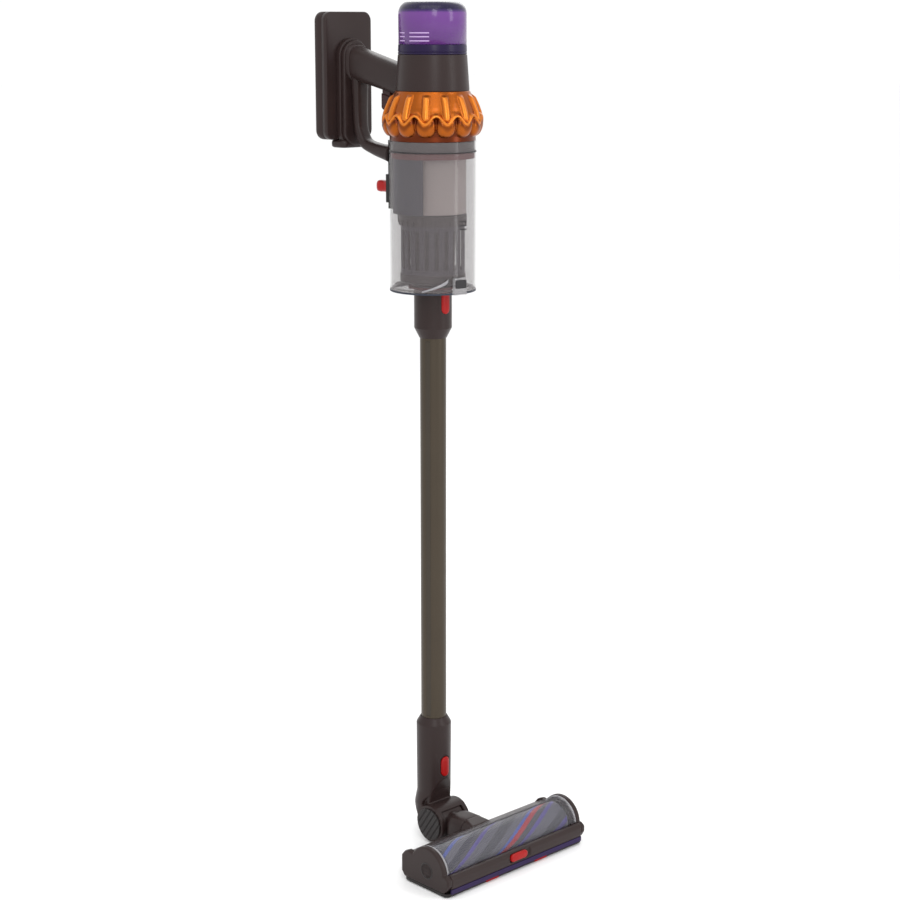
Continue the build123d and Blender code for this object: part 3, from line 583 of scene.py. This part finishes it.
def build_filter():
    """The clear purple cover with its three printed lines, and the dark ring below it."""
    low, high = span("filter_cap")
    radius, hole, wall = high.x, 31.0, 2.0
    deep, wide = 15.5, radius - hole - 0.4
    steps = 14
    quarter = [radians(90 * k / steps) for k in range(steps + 1)]
    shoulder = [(sin(angle), cos(angle)) for angle in quarter]
    outline = [(hole, high.z - 0.5)]
    outline += [(radius - wide + wide * s, high.z - deep + deep * c) for s, c in shoulder]
    outline += [(radius, low.z), (radius - wall, low.z)]
    outline += [(radius - wide + (wide - wall) * s, high.z - deep + (deep - wall) * c)
                for s, c in reversed(shoulder)]
    outline += [(hole, high.z - wall)]
    make("filter_shell", lathe(outline), "filter", "filter_purple", ("filter_cap",))
    lines = [printed_line(radius, 1.5, start, end, low.z + rise, 0.25)
             for rise in (14.5, 9.6, 4.4) for start, end in ((-69, -53), (-41, -5))]
    make("filter_lines", merged(lines), "filter", "pale_mark", ())
    ring_low, ring_high = span("filter_base_ring")
    foot, top = ring_low.z, low.z
    radius, bore, spigot, groove = ring_high.x, 41.2, ring_high.x - 2.2, ring_high.x - 0.7
    outline = [(bore, top + 3.0), (spigot, top + 3.0), (spigot, top - 0.3), (radius - 0.4, top - 0.3),
               (radius, foot + 3.6), (groove, foot + 3.2), (groove, foot + 2.6), (radius, foot + 2.2),
               (radius, foot), (bore, foot)]
    outline = rounded(outline, [0.3, 0.3, 0.1, 0.6, 0.3, 0.2, 0.2, 0.3, 0.5, 0.3], 3)
    make("filter_ring", lathe(outline), "filter", "base_purple", ("filter_base_ring",))


def build_cone():
    """The tapered motor cone with its closed top."""
    low, high = span("motor_housing")
    foot_r, top_r, wall = high.x, span("filter_base_ring")[1].x + 0.3, 2.6
    hole, roof = 20.0, 3.0
    outline = [(hole, high.z), (top_r - 0.6, high.z), (top_r, high.z - 1.2), (foot_r, low.z + 1.4),
               (foot_r - 0.7, low.z), (foot_r - wall, low.z), (top_r - wall, high.z - roof),
               (hole, high.z - roof)]
    outline = rounded(outline, [0.3, 0.6, 2.0, 0.8, 0.3, 0.3, 0.5, 0.3], 3)
    make("motor_cone", lathe(outline), "main_body", "shell_plastic", ("motor_housing",))


# Cyclone pack ----------------------------------------------------------------
def steps_between(value, table):
    """Smooth value from a table of (place, value) with falling places."""
    for (z0, r0), (z1, r1) in zip(table, table[1:]):
        if value >= z1:
            t = (z0 - value) / (z0 - z1)
            return r0 + (r1 - r0) * t
    return table[-1][1]


LOBES = 14
WAVE = 5.4  # the ribbon's rise and fall
RIB_HEIGHT, RIB_HALF = 4.4, 4.9
RIBBON_HEIGHT, RIBBON_HALF, RIBBON_DROP, RIBBON_RADIUS = 4.8, 3.1, 36.0, 62.0
BULB_HEIGHT, BULB_HALF, BULB_REACH, BULB_DROP = 8.2, 13.4, 15.5, 43.0


def cyclone_face(z, angle, top, bell, skirt):
    """The pack's radius and its painted shading, 0 (painted shade) in the hollows and 1 (painted highlight)
    on the ridges, at a height and an angle.
    """
    turn = (angle / (2 * pi) * LOBES) % 1.0
    aside = (turn - 0.5) * 2 * pi / LOBES  # 0 on a rib
    wave = cos(2 * pi * (turn - 0.5))
    slope = WAVE * LOBES / RIBBON_RADIUS * sin(2 * pi * (turn - 0.5))
    ribbon_z = top - RIBBON_DROP - WAVE * wave
    above = 1 / (1 + exp(-(z - ribbon_z + 1.2) * 1.5))
    base = steps_between(z, bell) * above + steps_between(z, skirt) * (1 - above)
    across = aside * base
    rib = RIB_HEIGHT * sqrt(max(0.0, 1 - (across / RIB_HALF) ** 2))
    rib /= (1 + exp((z - top + 5.5) * 1.1)) * (1 + exp(-(z - ribbon_z - 4.6) * 1.5))
    half = RIBBON_HALF * sqrt(1 + slope ** 2)
    ribbon = RIBBON_HEIGHT * exp(-abs((z - ribbon_z) / half) ** 2.4)
    bulb_z = top - BULB_DROP
    room = 1 - abs(across / BULB_HALF) ** 2.4 - abs((z - bulb_z) / BULB_REACH) ** 2.2
    bulb = BULB_HEIGHT * sqrt(max(0.0, room)) * (1 - above)
    height = (rib ** 5 + ribbon ** 5 + bulb ** 5 + 1e-9) ** 0.2
    # painted shade: darker just under the ribbon, where it overhangs the bulbs
    overhang_shade = 0.34 * (1 - above) * max(0.0, 1 - ((z - ribbon_z + 5.0) / 6.0) ** 2)
    # painted highlight: lighter on the ribs, the ribbon and the bulbs' crests, and on the whole upper bell
    ridge_highlight = max(rib / RIB_HEIGHT, ribbon / RIBBON_HEIGHT, 0.7 * bulb / BULB_HEIGHT)
    relief_shading = min(1.0, 0.34 * above + 0.7 * ridge_highlight) - overhang_shade
    return base + height, max(0.0, relief_shading)


def build_cyclones():
    """One moulding: ribs above, a wavy ribbon round the middle and a bulb under each rib."""
    low, high = span("cyclone_pack")
    top, foot = high.z, low.z
    bell = [(top, 49.2), (top - 3, 50.4), (top - 8, 52.8), (top - 14, 55.6), (top - 20, 58.2),
            (top - 26, 60.4), (top - 32, 62.0), (top - 38, 63.0), (top - 46, 63.4), (foot, 63.4)]
    skirt = [(top, 59.6), (top - 36, 59.2), (top - 44, 58.6), (top - 50, 57.8), (top - 57, 56.8),
             (foot, 57.0)]
    foot_bore, top_bore, hidden = 54.2, 45.9, 0.2
    widest = high.x - 0.05
    rows, count = 96, LOBES * 26
    points, faces, relief_shadings = [], [], []
    for i in range(count):
        angle = 2 * pi * i / count
        for k in range(rows + 1):
            z = top - (top - foot) * k / rows
            radius, relief_shading = cyclone_face(z, angle, top, bell, skirt)
            radius = min(radius, widest)
            points.append((radius * cos(angle), radius * sin(angle), z))
            relief_shadings.append(relief_shading)
        points.append((foot_bore * cos(angle), foot_bore * sin(angle), foot))
        points.append((top_bore * cos(angle), top_bore * sin(angle), top))
        relief_shadings += [hidden, hidden]
    ring = rows + 3
    for i in range(count):
        j = (i + 1) % count
        for k in range(ring):
            m = (k + 1) % ring
            faces.append((i * ring + k, i * ring + m, j * ring + m, j * ring + k))
    piece = make("cyclone_shell", (points, faces), "main_body", "orange_plastic", ("cyclone_pack",))
    # each point's painted shade or painted highlight, read by the orange material
    attribute = piece.data.attributes.new("relief_shading", "FLOAT", "POINT")
    attribute.data.foreach_set("value", relief_shadings)


# Bin -------------------------------------------------------------------------
def build_bin():
    """The clear wall with its dark line and dashes, and behind it a pale sheet of painted light on the
    right and a dark sheet of painted shade on the left.
    """
    top_r, foot_r, wall = 58.2, 57.4, 2.2
    top, foot = span("clear_bin")[1].z, span("bin_door")[0].z + 3.0
    outline = [(top_r - wall, top), (top_r, top), (top_r, top - 2.2), (top_r - 0.5, top - 2.8),
               (foot_r - 0.3, foot + 4.2), (foot_r + 0.15, foot + 3.6), (foot_r + 0.15, foot),
               (foot_r - wall, foot)]
    outline = rounded(outline, [0.4, 0.6, 0.4, 0.4, 0.4, 0.4, 0.5, 0.4], 3)
    make("bin_wall", lathe(outline), "bin", "clear_plastic", ("clear_bin",))
    inner, outer, line_z = top_r - 1.2, top_r - 0.4, span("bin_collar")[0].z
    line = [(inner, line_z - 1.0), (outer, line_z - 1.0), (outer, line_z + 0.6), (inner, line_z + 0.6)]
    make("band_line", lathe(line), "bin", "dark_mark", ())
    dashes = [printed_line(foot_r + 0.45, 1.4, 38.5, 50.5, z, 0.1) for z in (879.5, 874.5, 869.5)]
    make("bin_dashes", merged(dashes), "bin", "dark_mark", ())
    column = span("cyclone_column")
    foot_z, top_z, thick = column[0].z + 1.5, column[1].z - 17, 1.6
    # the pale sheet is painted light, the lit side of the column; the dark one is painted shade on the left
    for name, radius, start, end, material in (("painted_light_sheet", 44.4, -16, 104, "column_painted_light"),
                                               ("painted_shade_sheet", 53.0, -170, -14, "rim_and_painted_shade")):
        panel = curved_band(radius - thick, radius, start, end, foot_z, top_z, 40)
        make(name, panel, "main_body", material, (), bevel=0.3)


def build_latch():
    """The door's catch, its dark pad, the door's rim and the clear wedge that sweeps round to the catch,
    drawn pale grey as a painted highlight.
    """
    softened("latch_frame", ("bin_latch",), "door", "latch_clear", 0.5, 2)
    low, high = span("bin_latch")
    turn = atan2((low.x + high.x) / 2, 60.0)
    points, faces = plate(box_outline(-8.8, 8.8, high.z - 14.2, high.z - 3.0, 2.0), "y", -64.0, -62.6, 0.4)
    points = [(x * cos(turn) - y * sin(turn), x * sin(turn) + y * cos(turn), z) for x, y, z in points]
    make("latch_pad", (points, faces), "door", "dark_mark", ())
    rim_r, rim_foot, rim_wide, rim_high = 57.75, span("bin_door")[0].z, 3.0, 2.4
    outline = rounded([(rim_r - rim_wide, rim_foot), (rim_r, rim_foot), (rim_r, rim_foot + rim_high),
                       (rim_r - rim_wide, rim_foot + rim_high)], 0.5, 3)
    make("door_rim", lathe(outline), "door", "rim_and_painted_shade", ())
    # the wedge is drawn pale and nearly opaque: a painted highlight line along the real wedge
    steps, rings = 24, []
    for k in range(steps + 1):
        t = k / steps
        way = toward(radians(20.0 - 34.0 * t))
        centre = way * (rim_r + 1.4) + Vector((0, 0, low.z + 19.0 - 14.5 * t ** 0.7))
        rings.append(oval(centre, way, (0, 0, 1), 1.3, 2.6 - 1.6 * t, 2.2, 16))
    make("latch_highlight_sweep", loft(rings), "door", "rim_and_highlight_clear", ())


# Handle and battery ----------------------------------------------------------
GRIP_TILT = radians(13.0)


def grip_centre(y):
    """The grip's centre line, which rises to the back."""
    return Vector((0, y, 1055.0 + (y - 40.0) * tan(GRIP_TILT)))


def build_grip():
    """The tilted grip bar, from inside the motor cone to the dock, cut upright at both ends."""
    along = Vector((0, cos(GRIP_TILT), sin(GRIP_TILT)))
    upright = Vector((0, -sin(GRIP_TILT), cos(GRIP_TILT)))
    across = Vector((1, 0, 0))
    start, end, steps = 43.0, 152.8, 40
    rings = []
    for k in range(steps + 1):
        t = k / steps
        y = start + (end - start) * t
        flare = 2.2 * max(0.0, (0.14 - t) / 0.14) ** 2
        groove = 0.9 if 0.925 < t < 0.945 else 0.0
        half_w = 16.4 + 0.6 * t + flare - groove
        half_h = 19.6 + 2.4 * t + flare - groove
        ring = oval(grip_centre(y), across, upright, half_w, half_h, 3.0)
        if k in (0, steps):
            ring = [p + along * ((y - p.y) / along.y) for p in ring]
        rings.append(ring)
    make("grip_shell", loft(rings), "main_body", "shell_plastic", ("handle_grip",))


def build_dock():
    """Two stacked plates with a foot under the battery, and the grip's stepped collar."""
    low, high = span("handle_dock")
    battery = span("battery_case")[0]
    back = plate(stadium_outline(24.5, low.z, 1114.0), "y", low.y + 6.0, battery.y - 0.1, 1.6)
    front = plate(stadium_outline(21.5, low.z + 3, 1111.0), "y", low.y, low.y + 7.0, 2.2)
    foot_outline = box_outline(low.x + 1.5, high.x - 1.5, low.y + 2, high.y, 9.0)
    foot = plate(foot_outline, "z", low.z, battery.z - 0.3, 3.5)
    make("dock_plates", merged([back, front, foot]), "main_body", "shell_plastic", ("handle_dock",))
    steps = ((-5.5, 0.6), (-5.0, 1.4), (-1.6, 1.6), (0.5, 2.6), (1.0, 2.6))
    rings = [oval(grip_centre(low.y + back_by), (1, 0, 0), (0, 0, 1), 17.0 + extra, 22.6 + extra, 3.0)
             for back_by, extra in steps]
    make("grip_collar", loft(rings), "main_body", "shell_plastic", ())


def build_guard():
    """The lower strut: down in front of the dock, then forward to the bin's rail."""
    route = [(0, 146.6, 1062), (0, 146.2, 1036), (0, 146.0, 1010), (0, 143.5, 990), (0, 133, 973.5),
             (0, 112, 966.5), (0, 90, 962.5), (0, 79.6, 961)]
    path = curve_through(route, 9)
    rings = []
    for i, point in enumerate(path):
        ahead = path[min(i + 1, len(path) - 1)] - path[max(i - 1, 0)]
        ahead.normalize()
        upright = Vector((1, 0, 0)).cross(ahead)
        t = i / (len(path) - 1)
        half_w = 12.6 - 2.2 * sin(pi * min(1.0, t * 1.2))
        half_t = 8.4 - 1.6 * sin(pi * min(1.0, t * 1.25)) + 3.0 * max(0.0, (t - 0.6) / 0.4) ** 1.5
        rings.append(oval(point, Vector((1, 0, 0)), upright, half_w, half_t, 2.7, 44))
    make("guard_bar", loft(rings), "main_body", "shell_plastic", ("handle_guard",))


def build_trigger():
    """The trigger's blade and the stem that runs up into the grip."""
    low, high = span("trigger")
    back = high.y - 2.0
    outline = rounded([(low.y, low.z + 0.5), (back, low.z), (back, high.z - 10), (low.y, high.z - 14)],
                      [7.0, 5.0, 0.5, 0.5], 6)
    blade = plate(outline, "x", low.x, high.x, 2.2)
    stem_outline = box_outline(low.y + 2.2, high.y - 2.4, high.z - 17.0, high.z, 1.5)
    stem = plate(stem_outline, "x", -5.8, 5.8, 0.8)
    make("trigger_shell", merged([blade, stem]), "trigger", "trigger_plastic", ("trigger",))


def build_lever():
    """The bin's release tab: a flat foot against the rail and a rounded thumb pad."""
    low, high = span("bin_release_lever")
    centre_z = (low.z + high.z) / 2
    stations = [(low.y, 6.3, 12.6), (low.y + 1.4, 6.4, 12.8), (low.y + 2.2, 6.2, 9.0),
                (low.y + 8, 6.4, 7.4), (high.y - 7, 7.0, 8.0), (high.y - 2.5, 6.6, 7.6),
                (high.y - 0.6, 5.2, 6.0), (high.y, 3.4, 4.0)]
    rings = [oval((0, y, centre_z), (1, 0, 0), (0, 0, 1), half_x, half_z, 3.0, 40)
             for y, half_x, half_z in stations]
    make("lever_tab", loft(rings), "bin_lever", "red_plastic", ("bin_release_lever",))


def build_battery():
    """The battery's case: a seam round its front part, a soft rear edge and a sunk rear panel."""
    low, high = span("battery_case")
    outline = box_outline(low.x, high.x, low.z, high.z, 12.0, 10)
    centre_x, centre_z = (low.x + high.x) / 2, (low.z + high.z) / 2
    edge, seam, sunk = 5.5, 0.55, 0.35
    stations = [(low.y, 1.6), (low.y + 0.5, 0.6), (low.y + 1.6, 0.0), (low.y + 9.0, 0.0),
                (low.y + 9.3, seam), (low.y + 9.9, seam), (low.y + 10.2, 0.0)]
    for k in range(7):
        angle = radians(15 * k)
        stations.append((high.y - edge * (1 - sin(angle)), edge * (1 - cos(angle))))
    stations += [(high.y, 7.5), (high.y - sunk, 9.0), (high.y - sunk, 12.0)]
    rings = []
    for y, inset in stations:
        rings.append([(centre_x + (x - centre_x) * (1 - inset / (high.x - centre_x)), y,
                       centre_z + (z - centre_z) * (1 - inset / (high.z - centre_z))) for x, z in outline])
    make("battery_shell", loft(rings), "battery", "shell_plastic", ("battery_case",))


# Wand and neck ---------------------------------------------------------------
def pill(node, name, body):
    """A push button whose rounded face follows the tube it sits in."""
    low, high = span(node)
    outer = -low.y - 0.12
    half_w, centre = high.x, (low.z + high.z) / 2
    half_h = (high.z - low.z) / 2
    rings = []
    crown = ((1.0, 3.2), (1.0, 1.0), (0.965, 0.45), (0.88, 0.1), (0.7, 0.0), (0.35, -0.1), (0.05, -0.1))
    for scale, drop in crown:
        inset = half_w * (1 - scale)
        outline = stadium_outline(half_w * scale, centre - half_h + inset, centre + half_h - inset, 14)
        rings.append([(x, -(sqrt(outer ** 2 - x * x) - drop), z) for x, z in outline])
    make(name, loft(rings), body, "red_plastic", (node,))


def build_wand():
    """The wand's two release buttons, the neck and its elbow."""
    pill("wand_release_button", "wand_button_face", "wand_button")
    pill("neck_release_button", "neck_button_face", "neck_button")
    softened("neck_shell", ("neck_socket",), "main_body", "shell_plastic", 0.9, 7)
    build_elbow()
    softened("disc_shells", ("elbow_discs",), "main_body", "dark_plastic", 0.45, 2)


def build_elbow():
    """A closed barrel between the cheeks, with its round tail, and the broad duct that turns on it."""
    low, high = span("elbow_barrel")
    half, radius = high.x, (high.z - low.z) / 2
    axis_y, axis_z = high.y - radius, (low.z + high.z) / 2
    profile = [(half, 4.0), (half, radius - 3.4), (half - 0.5, radius - 2.0), (half - 1.6, radius - 0.7),
               (half - 3.2, radius), (half - 12.0, radius)]
    profile += [(-x, reach) for x, reach in reversed(profile)]
    barrel = loft(turned_about_x(profile, axis_y, axis_z, 96))
    across, upright = Vector((1, 0, 0)), Vector((0, 0, 1))
    tail_r, flange_r = 17.0, 19.0
    stations = [(axis_y - 8, 15.0), (axis_y - 18, tail_r), (low.y + 3.6, tail_r), (low.y + 3.2, 16.6),
                (low.y + 3.0, 18.6), (low.y + 2.6, flange_r), (low.y + 0.4, flange_r), (low.y, 18.6)]
    tail = loft([oval((0, y, axis_z), across, upright, reach, reach, 2.0, 72) for y, reach in stations])
    make("elbow_shell", merged([barrel, tail]), "elbow", "shell_plastic", ("elbow_barrel",))
    low, high = span("neck_duct")
    half_w, half_h, centre = high.x, (high.z - low.z) / 2, (low.z + high.z) / 2
    stations = [(high.y, 17.5, 17.5, 2.0), (high.y, half_w - 3.4, half_h - 3.0, 2.4),
                (high.y - 0.5, half_w - 2.2, half_h - 1.8, 2.5),
                (high.y - 2.0, half_w - 1.0, half_h - 0.8, 2.7),
                (high.y - 5.0, half_w - 0.2, half_h - 0.2, 2.9), (high.y - 10.0, half_w, half_h, 3.1),
                (low.y + 0.6, half_w, half_h, 3.3), (low.y, half_w - 0.4, half_h - 0.4, 3.3)]
    duct = loft([oval((0, y, centre), across, upright, a, b, power, 80) for y, a, b, power in stations])
    make("duct_shell", duct, "head", "shell_plastic", ("neck_duct",))


# Floor head ------------------------------------------------------------------
def build_head():
    """The floor head's casings, its brush pile, its hood and the disc in its left end."""
    softened("head_shell", ("head_housing",), "head", "shell_plastic", 1.2, 4)
    softened("cap_left", ("end_cap_left",), "head", "shell_plastic", 0.8, 6)
    softened("cap_right", ("end_cap_right",), "head", "shell_plastic", 0.8, 6)
    softened("lip_shell", ("front_bar",), "head", "shell_plastic", 0.9, 5)
    build_slider()
    low, high = span("brush_sleeve")
    axis_y, axis_z, radius = (low.y + high.y) / 2, (low.z + high.z) / 2, (high.z - low.z) / 2
    rows, count, rim = 96, 144, 1.4
    rings = []
    for k in range(rows + 1):
        x = low.x + (high.x - low.x) * k / rows
        ring = []
        for i in range(count):
            angle = 2 * pi * i / count
            ripple = 0.35 * sin(6 * angle + x * 0.16) + 0.2 * sin(23 * angle - x * 0.9) - 0.55
            reach = radius + ripple - (rim if k in (0, rows) else 0.0)
            ring.append((x, axis_y + reach * cos(angle), axis_z + reach * sin(angle)))
        rings.append(ring)
    make("brush_pile", loft(rings), "brush", "brush_fabric", ("brush_sleeve",))
    build_hood(axis_y, axis_z)
    build_cap_disc(axis_y, axis_z)


def build_slider():
    """The red slider in the front bar, with a rounded face."""
    low, high = span("gate_slider")
    half_h, centre = (high.z - low.z) / 2, (low.z + high.z) / 2
    rings = []
    for y, inset in ((high.y, 0.3), (high.y - 0.3, 0.0), (low.y + 1.8, 0.0), (low.y + 0.9, 0.3),
                     (low.y + 0.3, 0.9), (low.y, 2.0)):
        outline = stadium_outline(half_h - inset, low.x + inset, high.x - inset, 14)
        rings.append([(x, y, centre + z) for z, x in outline])
    make("slider_face", loft(rings), "gate_slider", "red_plastic", ("gate_slider",))


def build_cap_disc(axis_y, axis_z):
    """A low disc with a raised rim in the left end cap, on the brush's axis."""
    side = span("end_cap_left")[0].x
    profile = [(side + 1.0, 11.6), (side - 0.1, 11.6), (side - 0.3, 11.2), (side - 0.3, 10.2), (side, 9.8),
               (side, 3.0)]
    disc = loft(turned_about_x(profile, axis_y, axis_z, 64))
    make("cap_disc", disc, "head", "dark_plastic", ())


def build_hood(axis_y, axis_z):
    """The clear hood round the top and front of the brush, with a thicker rim at each end."""
    low, high = span("clear_hood")
    outer = high.z - axis_z
    inner = outer - 2.0
    steps = 40
    turns = [radians(4.0 + 145.0 * k / steps) for k in range(steps + 1)]  # from the front over the top

    def section(x, reach_out, reach_in):
        walls = [(reach_out, a) for a in turns] + [(reach_in, a) for a in reversed(turns)]
        return [(x, axis_y - reach * cos(a), axis_z + reach * sin(a)) for reach, a in walls]

    stations = [(low.x + 0.1, outer - 0.2), (low.x + 0.5, outer)]
    stations += [(x, outer) for x in (low.x + 3.0, -60.0, 0.0, 60.0, high.x - 3.0)]
    stations += [(high.x - 0.5, outer), (high.x - 0.1, outer - 0.2)]
    hood = loft([section(x, reach, inner) for x, reach in stations])
    make("hood_shell", hood, "head", "hood_clear", ("clear_hood",), bevel=0.3)
    proud, rims = 0.35, []
    for x0, x1 in ((low.x + 0.2, low.x + 3.4), (high.x - 3.4, high.x - 0.2)):
        rim = ((x0, outer - 0.5), (x0 + 0.5, outer), (x1 - 0.5, outer), (x1, outer - 0.5))
        rims.append(loft([section(x, reach + proud, inner - 0.2) for x, reach in rim]))
    make("hood_rims", merged(rims), "head", "rim_and_highlight_clear", ())


# Fasteners -------------------------------------------------------------------
def screw_head(centre, across, upright, radius=2.8):
    """A low pan head with a six-sided recess, facing the way of across x upright."""
    across, upright = Vector(across), Vector(upright)
    out = across.cross(upright)
    count, socket_sides = 24, 6
    rings = []
    for reach, rise, socket in ((radius, -0.6, False), (radius, 0.02, False), (0.9 * radius, 0.16, False),
                                (0.52 * radius, 0.16, True), (0.48 * radius, -0.5, True)):
        ring = []
        for i in range(count):
            turn = 2 * pi * i / count
            half_side = pi / socket_sides
            corner = (turn + half_side) % (2 * half_side) - half_side
            side = reach * cos(half_side) / cos(corner) if socket else reach
            aside = across * side * cos(turn) + upright * side * sin(turn)
            ring.append(Vector(centre) + out * rise + aside)
        rings.append(ring)
    return loft(rings)


def build_screws():
    """Four screws in the battery's back and four under the floor head."""
    low, high = span("battery_case")
    back = high.y - 0.35
    heads = [screw_head((x, back, z), (0, 0, 1), (1, 0, 0))
             for x in (low.x + 12.5, high.x - 12.5) for z in (low.z + 13.0, high.z - 34.0)]
    make("battery_screws", merged(heads), "battery", "steel")
    low, high = span("sole_plate")
    heads = [screw_head((x, y, low.z), (0, 1, 0), (1, 0, 0))
             for x in (low.x + 8.0, high.x - 8.0) for y in (low.y + 12.0, high.y - 10.0)]
    make("sole_screws", merged(heads), "head", "steel")


# Everything else -------------------------------------------------------------
def dress_carried_nodes():
    """Every CAD node that stays gets the material of its slot, or a closer one."""
    closer = {"bin_collar": "band_plastic", "cyclone_column": "column_plastic",
              "inner_dust_cone": "black_plastic", "shroud_rings": "dark_plastic",
              "wand_channel": "channel_plastic", "bin_rail": "black_plastic",
              "display_pod": "black_plastic", "bin_door": "door_clear"}
    slots = {part["node"]: part["material_slot"] for part in frame["record"]["subparts"]}
    for name, node in NODES.items():
        material = MATERIALS[closer.get(name, slots[name])]
        if not node.material_slots:
            node.data.materials.append(material)
        for entry in node.material_slots:
            entry.material = material


def build_stage():
    """A wide pale floor and an even white surround."""
    side = 30.0
    corners = [(-side, -side, 0), (side, -side, 0), (side, side, 0), (-side, side, 0)]
    mesh = bpy.data.meshes.new("floor")
    mesh.from_pydata(corners, [], [(0, 1, 2, 3)])
    material, nodes, links, shader = blank("floor")
    place = nodes.new("ShaderNodeTexCoord").outputs["Object"]
    soft = noise_node(nodes, links, place, 1.2, 2.0)
    base = ramp_node(nodes, links, soft, [(0.3, (0.968, 0.968, 0.968, 1)), (0.7, (0.975, 0.975, 0.975, 1))])
    links.new(base, shader.inputs["Base Color"])
    shader.inputs["Roughness"].default_value = 0.8
    mesh.materials.append(material)
    floor = bpy.data.objects.new("floor", mesh)
    bpy.context.scene.collection.objects.link(floor)
    world = bpy.data.worlds.new("studio")
    world.use_nodes = True
    background = world.node_tree.nodes["Background"]
    background.inputs["Color"].default_value = (1.0, 1.0, 1.0, 1.0)
    background.inputs["Strength"].default_value = 1.04
    bpy.context.scene.world = world
    bpy.context.scene.view_settings.view_transform = "Standard"


def lamp(name, turn, distance, height, size, power, aim=0.75):
    """A soft square light at a turn round the object from the view direction."""
    data = bpy.data.lights.new(name, "AREA")
    data.shape = "RECTANGLE"
    data.size, data.size_y = size
    data.energy = power
    light = bpy.data.objects.new(name, data)
    bpy.context.scene.collection.objects.link(light)
    way = -SIGHT * cos(radians(turn)) + ASIDE * sin(radians(turn))
    place = way * distance + Vector((0, 0, height))
    light.location = place
    light.rotation_euler = (Vector((0, 0, aim)) - place).to_track_quat("-Z", "Y").to_euler()


def build_lights():
    """A broad key near the camera, a strip at the right, and soft light from above and behind."""
    lamp("key", 8, 2.8, 2.0, (0.7, 2.2), 22)
    lamp("side", 66, 2.4, 1.5, (0.5, 2.2), 14)
    lamp("top", -10, 1.2, 3.2, (2.4, 1.6), 14, 0.9)
    lamp("rear", 170, 2.6, 2.4, (1.6, 1.6), 12)


place_camera()
MATERIALS = make_materials()
build_filter()
build_cone()
build_cyclones()
build_bin()
build_latch()
build_grip()
build_dock()
build_guard()
build_trigger()
build_lever()
build_battery()
build_wand()
build_head()
build_screws()
dress_carried_nodes()
build_stage()
build_lights()
